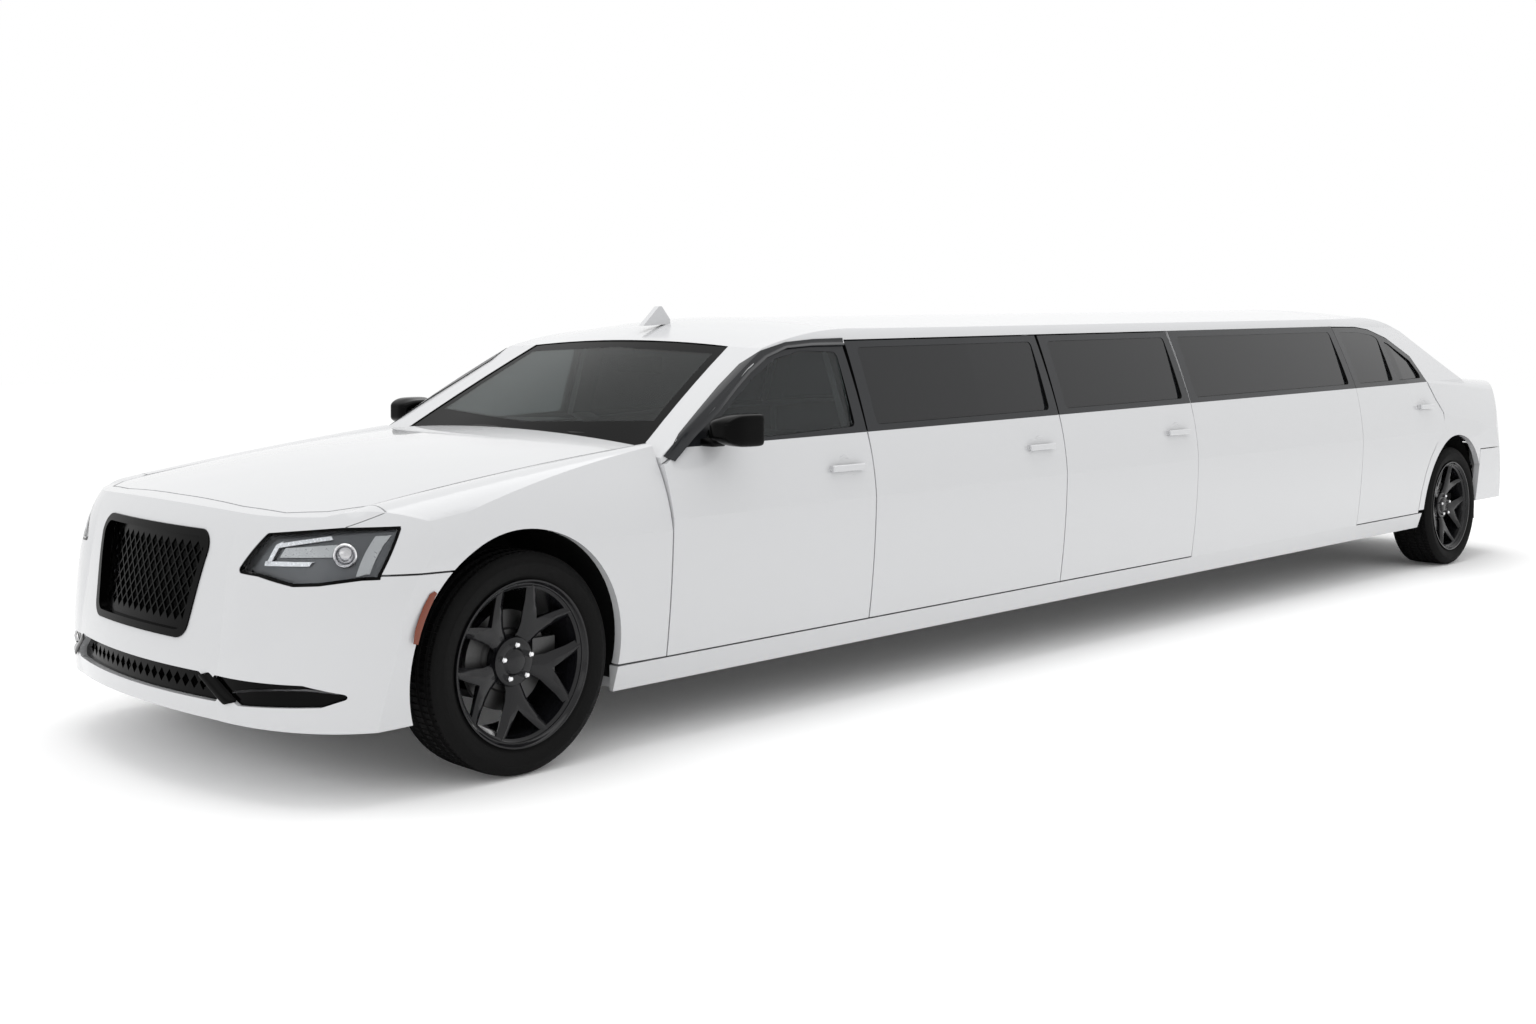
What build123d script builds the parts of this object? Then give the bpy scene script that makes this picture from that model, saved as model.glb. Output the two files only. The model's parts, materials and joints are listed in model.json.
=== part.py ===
from build123d import *
import math
import os

# Stretch limousine, millimetres, +Z up, nose towards -Y, the car's left side at +X.
# Stations are distances behind the front axle; save() moves everything so that the
# origin is at the bottom centre of the whole car.

# Driving dimensions
WHEELBASE = 7330
FRONT_OVERHANG = 925
REAR_OVERHANG = 1075
HALF_WIDTH = 951
BASE_STATION = 2500      # the station where the heights below are given
RAKE = 0.0077            # rise per mm of the rocker and sill towards the rear
BELT_RAKE = 0.0176       # rise per mm of the belt line
RAIL_RAKE = 0.0149       # rise per mm of the tops of the side windows
SHUT_GAP = 6
SEAT_GAP = 0.3

# Shut lines, as stations
LINE_A = 626
LINE_B1 = 1720
LINE_B2 = 3042
LINE_B3 = 4184
LINE_B4 = 6000

# Side section
ROCKER_X, ROCKER_Z = 887, 230
SILL_X, SILL_Z = 914, 318
WIDE_Z = 801
BELT_X, BELT_Z = 908, 1059
RAIL_X, RAIL_Z = 788, 1419
ROCKER_DEPTH = 214
SIDE_BULGE = 7
GLASS_BULGE = 5
DOOR_DEPTH = 110
FRAME_DEPTH = 42
PILLAR_DEPTH = 40
PILLAR_HALF = 55
PILLAR_RISE = 25         # how far a pillar runs up into the roof rail
PILLAR_REACH = 90        # how far inboard the roof rail and pillars reach

# Wheels
WHEEL_Z = 364
TYRE_RADIUS = 364
TYRE_WIDTH = 245
RIM_RADIUS = 272.5
RIM_WIDTH = 226
HALF_TRACK = 797
BORE_RADIUS = 25
BEAD_RADIUS = 256
BEAD_INSET = 15
FLANGE_RADIUS = 274
WALL_RADIUS = 318
SHOULDER = 26
SPOKES = 5
ARCH_RADIUS = 430
FRONT_ARCH = (-25, 375)
REAR_ARCH = (WHEELBASE, 375)
WELL_RADIUS = 462
WELL_WALL = 6
WELL_INNER_X = 420
WELL_OUTER_X = 866
KINGPIN_X = 730

# Glass
GLASS = 5
GLASS_RECESS = 8
SCREEN_GLASS = 6
PANEL = 30

FRONT_AXLE_Y = -(FRONT_OVERHANG + WHEELBASE + REAR_OVERHANG) / 2 + FRONT_OVERHANG
LEFT, RIGHT = 1, -1


def raked(height, station, rake=RAKE):
    return height + rake * (station - BASE_STATION)


def chain(start, *steps):
    """Edges from start: a step is one point for a line, or (middle, end) for an arc."""
    edges = []
    here = Vector(*start)
    for step in steps:
        if isinstance(step[0], tuple):
            middle, end = Vector(*step[0]), Vector(*step[1])
            edges.append(Edge.make_three_point_arc(here, middle, end))
        else:
            end = Vector(*step)
            edges.append(Edge.make_line(here, end))
        here = end
    return edges


def bulged(a, b, bulge):
    """A point beside the middle of a to b in the XZ plane, pushed out by bulge."""
    dx, dz = b[0] - a[0], b[2] - a[2]
    length = math.hypot(dx, dz)
    return ((a[0] + b[0]) / 2 + bulge * dz / length, (a[1] + b[1]) / 2, (a[2] + b[2]) / 2 - bulge * dx / length)


def box(x0, x1, s0, s1, z0, z1):
    return Pos((x0 + x1) / 2, (s0 + s1) / 2, (z0 + z1) / 2) * Box(abs(x1 - x0), abs(s1 - s0), abs(z1 - z0))


def polygon_yz(points, x0, x1, radius=0):
    """A prism along X whose outline is given as (station, z) points."""
    face = Face(Wire.make_polygon([Vector(x0, s, z) for s, z in points], close=True))
    if radius:
        face = face.fillet_2d(radius, face.vertices())
    return extrude(face, amount=abs(x1 - x0), dir=(1 if x1 > x0 else -1, 0, 0))


def polygon_xy(points, z0, z1):
    face = Face(Wire.make_polygon([Vector(x, s, z0) for x, s in points], close=True))
    return extrude(face, amount=z1 - z0, dir=(0, 0, 1))


def tube_x(x0, x1, station, z, radius):
    return Pos((x0 + x1) / 2, station, z) * Rot(0, 90, 0) * Cylinder(radius, abs(x1 - x0))


def both(shape):
    return [shape, mirror(shape, Plane.YZ)]


def interpolate(table, station):
    """A row of the table, worked out between its two neighbours."""
    rows = sorted(table)
    if station <= rows[0][0]:
        return rows[0][1:]
    for low, high in zip(rows, rows[1:]):
        if station <= high[0]:
            share = (station - low[0]) / (high[0] - low[0])
            return tuple(a + share * (b - a) for a, b in zip(low[1:], high[1:]))
    return rows[-1][1:]


# Upper side of the body. Columns: station, belt x, rail x, rail z before its rake is added.
UPPER = [
    (560, 872, 735, 1405),
    (1000, 897, 752, 1405),
    (1300, 903, 766, 1410),
    (LINE_B1, 906, 780, 1418),
    (BASE_STATION, BELT_X, RAIL_X, RAIL_Z),
    (LINE_B4, BELT_X, 762, RAIL_Z),
    (6700, 903, 735, 1405),
    (7300, 880, 690, 1395),
    (7900, 860, 650, 1385),
]


def side_points(station):
    """Outer corners of the side: rocker, sill, widest, belt and rail."""
    belt_x, rail_x, rail_z = interpolate(UPPER, station)
    return dict(
        rocker=(ROCKER_X, station, raked(ROCKER_Z, station)),
        sill=(SILL_X, station, raked(SILL_Z, station)),
        wide=(HALF_WIDTH, station, raked(WIDE_Z, station)),
        belt=(belt_x, station, raked(BELT_Z, station, BELT_RAKE)),
        rail=(rail_x, station, raked(rail_z, station, RAIL_RAKE)),
    )


def moved(point, dx, dz=0):
    return (point[0] + dx, point[1], point[2] + dz)


def stations_between(start, end):
    middle = [row[0] for row in UPPER if start + 40 < row[0] < end - 40]
    return [start, *middle, end]


def lofted(wires):
    return Solid.make_loft(wires, True)


def door_wire(station):
    p = side_points(station)
    steps = [
        (bulged(p["sill"], p["wide"], SIDE_BULGE), p["wide"]),
        (bulged(p["wide"], p["belt"], SIDE_BULGE), p["belt"]),
        (bulged(p["belt"], p["rail"], GLASS_BULGE), p["rail"]),
        moved(p["rail"], -FRAME_DEPTH),
        moved(p["belt"], -FRAME_DEPTH, 15),
        moved(p["belt"], -DOOR_DEPTH, -10),
        moved(p["sill"], -DOOR_DEPTH),
        p["sill"],
    ]
    return Wire(chain(p["sill"], *steps))


def pillar_wire(station, gap):
    p = side_points(station)
    frame, door = FRAME_DEPTH + gap, DOOR_DEPTH + gap
    lean = (p["belt"][0] - p["rail"][0]) / (p["rail"][2] - p["belt"][2] - 15)
    start = moved(p["sill"], -door, -20)
    steps = [
        moved(p["belt"], -door, -10),
        moved(p["belt"], -frame, 15),
        moved(p["rail"], -frame - PILLAR_RISE * lean, PILLAR_RISE),
        moved(p["rail"], -frame - PILLAR_DEPTH, PILLAR_RISE),
        moved(p["belt"], -frame - PILLAR_DEPTH, 15),
        moved(p["belt"], -door - PILLAR_DEPTH, -10),
        moved(p["sill"], -door - PILLAR_DEPTH, -20),
        start,
    ]
    return Wire(chain(start, *steps))


def rocker_wire(station):
    p = side_points(station)
    steps = [p["sill"], moved(p["sill"], -ROCKER_DEPTH), moved(p["rocker"], SILL_X - ROCKER_X - ROCKER_DEPTH), p["rocker"]]
    return Wire(chain(p["rocker"], *steps))


def side_strip(wire_at, start, end, *extra):
    return lofted([wire_at(s, *extra) for s in stations_between(start, end)])


# Door outlines in side view, as (station, z). Fronts and rears stand on the shut lines.
def belt_z(station):
    return raked(BELT_Z, station, BELT_RAKE)


def rail_z(station):
    return interpolate(UPPER, station)[2] + RAIL_RAKE * (station - BASE_STATION)


def sill_z(station):
    return raked(SILL_Z, station)


FRONT_DOOR_TOP = [(LINE_A + 22, 984), (1150, 1296), (1290, 1358), (1440, 1392)]
REAR_DOOR_TOP = [(6330, 1470), (6500, 1456), (6700, 1405), (6930, 1292), (7009, 1118)]
REAR_DOOR_BACK = [(7060, 1036), (7140, 950), (7146, 890), (7110, 818)]
ARCH_LIP = 70
FRAME_MARGIN = 65


def door_outline(name, gap):
    """The opening that a door fills, made smaller all round by gap."""
    half = gap / 2
    if name == "front":
        top = [(s + gap * 0.45, z - gap * 0.8) for s, z in FRONT_DOOR_TOP]
        corner = (LINE_B1 - half, rail_z(LINE_B1) - 14 - gap)
        return [(LINE_A + half, sill_z(LINE_A) + gap), (LINE_A + half, 974), *top, corner,
                (LINE_B1 - half, sill_z(LINE_B1) + gap)]
    if name == "rear":
        top = [(s - gap * 0.4, z - gap * 0.8) for s, z in REAR_DOOR_TOP]
        back = [(s - gap, z) for s, z in REAR_DOOR_BACK]
        lip = ARCH_RADIUS + ARCH_LIP + gap
        round_arch = [(REAR_ARCH[0] - lip * math.cos(a), REAR_ARCH[1] + lip * math.sin(a))
                      for a in (0.88, 0.66, 0.44, 0.22, 0.0)]
        foot = (REAR_ARCH[0] - lip, sill_z(6830) + gap)
        return [(LINE_B4 + half, sill_z(LINE_B4) + gap), (LINE_B4 + half, rail_z(LINE_B4) - gap - 1), *top,
                *back, *round_arch, foot]
    start, end = {"second": (LINE_B1, LINE_B2), "third": (LINE_B2, LINE_B3), "panel": (LINE_B3, LINE_B4)}[name]
    low, high = start + half, end - half
    return [(low, sill_z(low) + gap), (low, rail_z(low) - gap), (high, rail_z(high) - gap), (high, sill_z(high) + gap)]


def window_outline(name):
    low, high = 25, 32
    if name == "front":
        end = LINE_B1 - FRAME_MARGIN
        return [(LINE_A + 170, belt_z(LINE_A + 170) + 5), (1160, 1262), (1310, 1334), (1460, 1364),
                (end, rail_z(end) - 14 - high), (end, belt_z(end) + low)]
    if name == "rear":
        start = LINE_B4 + FRAME_MARGIN
        return [(start, belt_z(start) + low), (start, rail_z(start) - high), (6340, 1436), (6510, 1420), (6570, 1402),
                (6520, belt_z(6520) + low)]
    if name == "quarter":
        return [(6585, belt_z(6585) + low), (6630, 1384), (6690, 1368), (6885, 1268), (6950, belt_z(6950) + low)]
    start, end = {"second": (LINE_B1, LINE_B2), "third": (LINE_B2, LINE_B3), "panel": (LINE_B3, LINE_B4)}[name]
    start, end = start + FRAME_MARGIN, end - FRAME_MARGIN
    return [(start, belt_z(start) + low), (start, rail_z(start) - high), (end, rail_z(end) - high), (end, belt_z(end) + low)]


WINDOWS = dict(front=["front"], second=["second"], third=["third"], panel=["panel"], rear=["rear", "quarter"])
SPANS = dict(front=(LINE_A - 20, LINE_B1 + 10), second=(LINE_B1 - 10, LINE_B2 + 10), third=(LINE_B2 - 10, LINE_B3 + 10),
             panel=(LINE_B3 - 10, LINE_B4 + 10), rear=(LINE_B4 - 10, 7200))
TRAILING_SLOPE = 0.3


def window_prism(name, gap=0, radius=22):
    outline = window_outline(name)
    if not gap:
        return polygon_yz(outline, 500, 1100, radius)
    face = Face(Wire.make_polygon([Vector(500, s, z) for s, z in outline], close=True))
    face = face.fillet_2d(radius, face.vertices())
    inner = face.outer_wire().offset_2d(-gap)
    return extrude(Face(inner), amount=600, dir=(1, 0, 0))


def side_panel(name, gap):
    """One length of the side between two shut lines, with its windows cut."""
    start, end = SPANS[name]
    panel = side_strip(door_wire, start, end) & polygon_yz(door_outline(name, gap), 500, 1100)
    for window in WINDOWS[name]:
        panel -= window_prism(window)
    return panel


def trailing_wedge(name):
    """What is taken off a door's rear edge so that it swings past its neighbour."""
    end = {"front": LINE_B1, "second": LINE_B2, "third": LINE_B3}.get(name, 7200)
    end -= SHUT_GAP / 2
    points = []
    for x, station in ((HALF_WIDTH - 20, end), (HALF_WIDTH + 30, end), (HALF_WIDTH + 30, end + 60), (400, end + 60),
                       (400, end - TRAILING_SLOPE * (HALF_WIDTH - 20 - 400) / 3)):
        points.append((x, station))
    return polygon_xy(points, 0, 2000)


HANDLE_X = 13


def handle(name):
    """A pull handle on two feet over the skin."""
    station, height = {"front": (1555, 916), "second": (2852, 936), "third": (4004, 954), "rear": (6866, 993)}[name]
    skin = HALF_WIDTH - 12
    bar = Pos(skin + HANDLE_X, station, height) * Box(14, 190, 26)
    bar = fillet(bar.edges(), 6)
    feet = [Pos(skin + 2, station + side * 78, height) * Box(18, 26, 20) for side in (-1, 1)]
    return bar + feet[0] + feet[1]


def door(name):
    panel = side_panel(name, SHUT_GAP)
    if name != "rear":
        panel -= trailing_wedge(name)
    return panel + handle(name)


def pane_wire(station):
    p = side_points(station)
    out, deep = -GLASS_RECESS, -GLASS_RECESS - GLASS
    belt, rail = moved(p["belt"], out, -20), moved(p["rail"], out, 20)
    belt_in, rail_in = moved(p["belt"], deep, -20), moved(p["rail"], deep, 20)
    return Wire(chain(belt, (bulged(belt, rail, GLASS_BULGE), rail), rail_in,
                      (bulged(belt_in, rail_in, GLASS_BULGE), belt_in), belt))


def panes(name):
    start, end = SPANS[name]
    sheet = side_strip(pane_wire, start, end)
    return [sheet & window_prism(window, SEAT_GAP) for window in WINDOWS[name]]


# Side profiles of the greenhouse at three widths.
# Columns: place, then station and z at the centre, at HALF_ROOF and at HALF_HALL.
HALF_ROOF = 600
HALF_HALL = 900
GREENHOUSE = dict(
    screen_foot=(655, 1042, 672, 1030, 640, 1008),
    screen_middle=(950, 1228, 958, 1208, 950, 1203),
    screen_head=(1262, 1404, 1260, 1380, 1262, 1378),
    roof_front_middle=(1500, 1474, 1500, 1438, 1500, 1424),
    roof_front=(1850, 1502, 1850, 1466, 1850, 1442),
    roof_rear=(6345, 1575, 6345, 1533, 6345, 1500),
    roof_rear_middle=(6760, 1570, 6745, 1520, 6730, 1480),
    backlight_head=(7060, 1530, 7015, 1465, 6985, 1425),
    backlight_middle=(7400, 1350, 7345, 1300, 7310, 1265),
    backlight_foot=(7710, 1157, 7650, 1135, 7610, 1118),
)
COWL_FRONT = 628
COWL_DROP = 14
HALL_LOW = 900


def profile_wire(x, inset):
    """The car's upper outline in side view, at width x, drawn in by inset."""
    column = {0: 0, HALF_ROOF: 2, HALF_HALL: 4}[abs(x)]

    def at(place):
        station, z = GREENHOUSE[place][column:column + 2]
        front, rear = place.startswith("screen"), place.startswith("backlight")
        push = inset * 0.55 * (front - rear)
        return (x, station + push, z - inset * (0.84 if front or rear else 1))
    foot = at("screen_foot")
    back = at("backlight_foot")
    cowl = (x, COWL_FRONT + inset, foot[2] - COWL_DROP)
    return Wire(chain(
        cowl,
        foot,
        (at("screen_middle"), at("screen_head")),
        (at("roof_front_middle"), at("roof_front")),
        at("roof_rear"),
        (at("roof_rear_middle"), at("backlight_head")),
        (at("backlight_middle"), back),
        (x, back[1], HALL_LOW),
        (x, COWL_FRONT + inset, HALL_LOW),
        cowl,
    ))


def greenhouse_profile(inset):
    widths = (-HALF_HALL, -HALF_ROOF, 0, HALF_ROOF, HALF_HALL)
    return Solid.make_loft([profile_wire(x, inset) for x in widths], False)


def hall_wire(station, inset):
    """Cross-section of the space between the two sides above the belt."""
    p = side_points(station)
    belt, rail = moved(p["belt"], -inset), moved(p["rail"], -inset)
    low = (belt[0] + 14, station, belt[2] - 100)
    eave = (rail[0] - 78, station, rail[2] + 82)
    top = (0, station, rail[2] + 220)
    knee = (rail[0] - 26, station, rail[2] + 50)
    right = [(-q[0], q[1], q[2]) for q in (eave, knee, rail, belt, low)]
    bulge = bulged(belt, rail, GLASS_BULGE)
    return Wire(chain(
        low, belt, (bulge, rail), (knee, eave), top, right[0],
        (right[1], right[2]), ((-bulge[0], bulge[1], bulge[2]), right[3]), right[4], low,
    ))


def hall(inset):
    return lofted([hall_wire(row[0], inset) for row in UPPER])


# Lower body at the front and at the rear, as cross-sections.
# Columns: station, sill x, sill z, widest x, widest z, shoulder x, shoulder z, edge x, edge z, crown z.
FRONT_BODY = [
    (-960, 890, 258, 945, 640, 905, 770, 730, 812, 850),
    (-600, 900, 230, 947, 690, 912, 822, 745, 880, 926),
    (-250, 905, 240, 949, 740, 918, 872, 756, 934, 992),
    (150, 908, 260, 950, 775, 912, 930, 762, 986, 1040),
    (660, 914, 304, 951, 787, 889, 1003, 768, 1037, 1068),
]
REAR_BODY = [
    (6600, SILL_X, 350, HALF_WIDTH, 833, 904, 1131, 800, 1165, 1180),
    (7000, SILL_X, 353, HALF_WIDTH, 836, 898, 1130, 790, 1162, 1178),
    (7700, 905, 340, 946, 835, 885, 1090, 770, 1140, 1160),
    (8450, 890, 330, 930, 830, 860, 1050, 720, 1112, 1128),
]
EDGE_BULGE = 24


def body_wire(row, inset):
    station, sill_x, low_z, wide_x, wide_z, shoulder_x, shoulder_z, edge_x, edge_z, crown_z = row
    sill = (sill_x - inset, station, low_z + inset)
    wide = (wide_x - inset, station, wide_z)
    shoulder = (shoulder_x - inset, station, shoulder_z - inset * 0.6)
    edge = (edge_x - inset * 0.3, station, edge_z - inset)
    crown = (0, station, crown_z - inset)
    half = [(bulged(sill, wide, SIDE_BULGE), wide), (bulged(wide, shoulder, SIDE_BULGE), shoulder),
            (bulged(shoulder, edge, EDGE_BULGE), edge)]
    def flip(q):
        return (-q[0], q[1], q[2])
    back = []
    ends = [edge, shoulder, wide, sill]
    for (middle, _), end in zip(reversed(half), ends[1:]):
        back.append((flip(middle), flip(end)))
    return Wire(chain(sill, *half, (crown, flip(edge)), *back, sill))


def body_loft(table, inset):
    return Solid.make_loft([body_wire(row, inset) for row in table], False)


# The nose and the tail in plan view.
# Columns: z, centre station, middle x, middle station, corner x, corner station, side x, side station.
NOSE = [
    (150, -905, 470, -850, 790, -690, 925, -400),
    (250, -924, 480, -866, 808, -700, 945, -400),
    (450, -912, 490, -862, 818, -700, 953, -400),
    (700, -872, 480, -826, 806, -688, 955, -380),
    (840, -826, 480, -786, 775, -645, 930, -330),
    (1000, -690, 450, -640, 690, -500, 860, -200),
    (1150, -560, 420, -510, 660, -380, 830, -120),
]
TAIL = [
    (150, 8350, 500, 8318, 815, 8180, 925, 7850),
    (300, 8385, 510, 8352, 826, 8205, 940, 7850),
    (600, 8405, 520, 8372, 832, 8215, 950, 7850),
    (900, 8385, 515, 8350, 820, 8190, 940, 7800),
    (1200, 8345, 500, 8310, 790, 8130, 915, 7750),
]
NOSE_BACK = 760
TAIL_FRONT = 6500


def plan_wire(row, inset, back):
    z, centre, middle_x, middle_s, corner_x, corner_s, side_x, side_s = row
    inward = inset if back > centre else -inset
    c = (0, centre + inward, z)
    m = (middle_x, middle_s + inward, z)
    k = (corner_x - inset * 0.6, corner_s + inward * 0.8, z)
    e = (side_x - inset, side_s + inward * 0.3, z)
    def flip(q):
        return (-q[0], q[1], q[2])
    rear = (side_x - inset, back, z)
    return Wire(chain(m, (k, e), rear, flip(rear), flip(e), (flip(k), flip(m)), (c, m)))


def plan_loft(table, inset, back):
    return Solid.make_loft([plan_wire(row, inset, back) for row in table], False)


def front_solid(inset):
    return body_loft(FRONT_BODY, inset) & plan_loft(NOSE, inset, NOSE_BACK)


def rear_solid(inset):
    return body_loft(REAR_BODY, inset) & plan_loft(TAIL, inset, TAIL_FRONT)


def arch(centre, radius, x0=500, x1=1100):
    cutter = tube_x(x0, x1, centre[0], centre[1], radius)
    return cutter + mirror(cutter, Plane.YZ)


def save(shapes, name):
    """Write one sub-part, moved to the car's own origin. Mirroring twice moves its curves too."""
    solids = []
    for shape in shapes if isinstance(shapes, list) else [shapes]:
        solids += shape.solids()
    placed = [mirror(mirror(Pos(0, FRONT_AXLE_Y, 0) * solid, Plane.YZ), Plane.YZ) for solid in solids]
    result = placed[0] if len(placed) == 1 else Compound(children=placed)
    export_step(result, f"parts/{name}.step")


# Cut lines of the front: the hood in plan, and the fenders in side view
HOOD_SIDE_X = 757
HOOD_REAR = 620
HOOD_EDGE = [(0, -738), (400, -728), (600, -690), (700, -604), (HOOD_SIDE_X - 8, -490), (HOOD_SIDE_X, HOOD_REAR)]
FENDER_EDGE = [(-575, 706), (-200, 699), (-200, 200), (LINE_A, 200), (LINE_A, 1150), (-440, 1150), (-490, 885), (-603, 845)]
LAMP_FACE = [(528, 699), (612, 822), (800, 843), (1000, 846), (1000, 692), (880, 690), (800, 674), (735, 670), (620, 694)]
LAMP_END = [(-1000, 640), (-560, 660), (-547, 703), (-468, 836), (-465, 870), (-1000, 870)]
GRILLE_FACE = [(-386, 815), (386, 815), (318, 474), (-318, 474)]
INTAKE_FACE = [(-405, 386), (405, 386), (540, 303), (-540, 303)]
GRILLE_CORNER = 60
INTAKE_CORNER = 18
FOG_FACE = [(445, 384), (776, 378), (880, 344), (815, 312), (580, 302)]
BUMPER_BACK = -487
TRAY_X = 415
FENDER_FOOT_Z = 345


def polygon_xz(points, s0, s1, radius=0):
    face = Face(Wire.make_polygon([Vector(x, s0, z) for x, z in points], close=True))
    if radius:
        face = face.fillet_2d(radius, face.vertices())
    return extrude(face, amount=abs(s1 - s0), dir=(0, 1 if s1 > s0 else -1, 0))


def well_room(centre):
    """The space of one wheel well with its liner, inboard of the skin."""
    return well(centre, WELL_RADIUS + SEAT_GAP, TRAY_X - 5, WELL_OUTER_X + 4, 0)


def hood_prism(gap):
    right = [(x + gap, s - gap) if x else (0, s - gap) for x, s in HOOD_EDGE[:-1]]
    right.append((HOOD_SIDE_X + gap, HOOD_REAR + gap))
    left = [(-x, s) for x, s in reversed(right) if x]
    return polygon_xy(right + left, 700, 1300)


def lamp_block(gap):
    face = [(x + (gap if x > 700 else -gap), z + (gap if z > 760 else -gap)) for x, z in LAMP_FACE]
    end = [(s + (gap if s > -900 else 0), z) for s, z in LAMP_END]
    return polygon_xz(face, -1000, -400, 12) & polygon_yz(end, 400, 1000)


def front_panels():
    """Hood, fenders and front bumper, cut from one shell."""
    outer = front_solid(0)
    shell = outer - front_solid(PANEL)
    hood = shell & hood_prism(0)
    rest = shell - hood_prism(SHUT_GAP)
    fender_side = polygon_yz(FENDER_EDGE, 500, 1000)
    cheeks = polygon_yz([(s - SHUT_GAP, z - SHUT_GAP if z < 1000 else z) for s, z in FENDER_EDGE[:2]] + [(-200, 150), (800, 150), (800, 1200)]
                        + [(s - SHUT_GAP, z) for s, z in FENDER_EDGE[5:]], -1000, 1000)
    lamps = both(lamp_block(SEAT_GAP))
    below = box(-1000, 1000, -200, 700, 0, sill_z(LINE_A) + SHUT_GAP)
    fender = (rest & fender_side) - tube_x(500, 1100, *FRONT_ARCH, ARCH_RADIUS) - below
    fender -= box(0, 1000, LINE_A - SHUT_GAP / 2, 900, 0, 1300)
    fender -= box(0, WELL_OUTER_X + 4, -800, 800, 0, FENDER_FOOT_Z)
    fender -= well_room(FRONT_ARCH)
    bumper = rest - cheeks - arch(FRONT_ARCH, ARCH_RADIUS)
    for room in both(well_room(FRONT_ARCH)):
        bumper -= room
    bumper -= box(-TRAY_X - 5, TRAY_X + 5, BUMPER_BACK, 0, 0, 700)
    fender -= lamps[0]
    for lamp in lamps:
        bumper -= lamp
    bumper -= polygon_xz(GRILLE_FACE, -1000, -700, GRILLE_CORNER)
    bumper -= polygon_xz(INTAKE_FACE, -1000, -700, INTAKE_CORNER)
    for fog in both(polygon_xz(FOG_FACE, -1000, -400, 10)):
        bumper -= fog
    return hood, both(fender), bumper


MESH_X = 44
MESH_Z = 26
MESH_BAR = 7
SHEET_DEPTH = 8
SHEET_RECESS = 16
SHEET_HALF = 540


def inside(point, outline, margin):
    """Whether a point lies in a convex outline, at least margin from each of its sides."""
    turns = []
    for (ax, az), (bx, bz) in zip(outline, outline[1:] + outline[:1]):
        length = math.hypot(bx - ax, bz - az)
        turns.append(((bx - ax) * (point[1] - az) - (bz - az) * (point[0] - ax)) / length)
    return min(turns) > margin or max(turns) < -margin


def mesh_holes(outline, margin):
    """Rows of diamond holes that fill an outline, each row half a step beside the last."""
    half_x, half_z = (MESH_X - MESH_BAR) / 2, (MESH_Z - MESH_BAR * MESH_Z / MESH_X)
    low, high = min(z for _, z in outline), max(z for _, z in outline)
    reach = max(x for x, _ in outline)
    middle = (low + high) / 2
    rows = math.ceil((high - low) / 2 / MESH_Z)
    columns = math.ceil(reach / MESH_X)
    holes = []
    for row in range(-rows, rows + 1):
        for column in range(-columns, columns + 1):
            x, z = (column + row % 2 / 2) * MESH_X, middle + row * MESH_Z
            if inside((x, z), outline, margin):
                diamond = [(x - half_x, z), (x, z + half_z), (x + half_x, z), (x, z - half_z)]
                holes.append(polygon_xz(diamond, -1000, -700))
    return holes


def mesh_sheet(low, high):
    """A sheet behind the skin, bowed in plan and leaned back as the nose is there."""
    low_row, high_row = interpolate(NOSE, low), interpolate(NOSE, high)
    lean = math.atan2(high_row[0] - low_row[0], high - low)
    bow = low_row[2] - low_row[0]
    radius = (low_row[1] ** 2 + bow ** 2) / (2 * bow)
    half = SHEET_HALF
    back = radius - math.sqrt(radius ** 2 - half ** 2)
    edges = chain((-half, back, 0), ((0, 0, 0), (half, back, 0)), (half, back + SHEET_DEPTH, 0),
                  ((0, SHEET_DEPTH, 0), (-half, back + SHEET_DEPTH, 0)), (-half, back, 0))
    sheet = extrude(Face(Wire(edges)), amount=(high - low) / math.cos(lean), dir=(0, 0, 1))
    return Pos(0, low_row[0] + SHEET_RECESS, low) * Rot(-math.degrees(lean), 0, 0) * sheet


def front_fittings():
    """Grille panels and headlamps, set into the bumper's openings."""
    plate = front_solid(14) - front_solid(24)
    rim = front_solid(-5) - front_solid(26)
    fit = SEAT_GAP
    shrink = [(x - math.copysign(fit, x), z + (fit if z < 600 else -fit)) for x, z in GRILLE_FACE]
    inner = [(x - math.copysign(26, x), z + (24 if z < 600 else -24)) for x, z in GRILLE_FACE]
    outline = polygon_xz(shrink, -1000, -700, GRILLE_CORNER)
    upper = (mesh_sheet(455, 835) & outline) - mesh_holes(inner, MESH_Z)
    upper += rim & (outline - polygon_xz(inner, -1000, -700, GRILLE_CORNER - 20))
    low = [(x - math.copysign(fit, x), z + (fit if z < 330 else -fit)) for x, z in INTAKE_FACE]
    lower = (mesh_sheet(290, 400) & polygon_xz(low, -1000, -700, INTAKE_CORNER)) - mesh_holes(low, MESH_Z)
    centre = (sum(x for x, _ in FOG_FACE) / len(FOG_FACE), sum(z for _, z in FOG_FACE) / len(FOG_FACE))
    fog = [(x + fit * (1 if x < centre[0] else -1), z + fit * (1 if z < centre[1] else -1)) for x, z in FOG_FACE]
    fogs = both(plate & polygon_xz(fog, -1000, -400, 10))
    lamp_shell = front_solid(2) - front_solid(90)
    return [upper, lower, *fogs], both(lamp_shell & lamp_block(0))


# Cut lines of the rear
LID_FRONT = 7722
LID_X = 684
LID_LOW = 704
BUMPER_TOP = 698
BUMPER_FRONT = 7700
TAIL_LAMP_FACE = [(692, 735), (1000, 735), (1000, 1018), (700, 1018)]
TAIL_LAMP_FRONT = 8130
REAR_TRAY_Z = 372


def tail_lamp_block(gap):
    low, high = 735 - gap, 1018 + gap
    face = [(692 - gap, low), (1000, low), (1000, high), (700 - gap, high)]
    return polygon_xz(face, TAIL_LAMP_FRONT - gap, 8500, 12)


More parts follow.
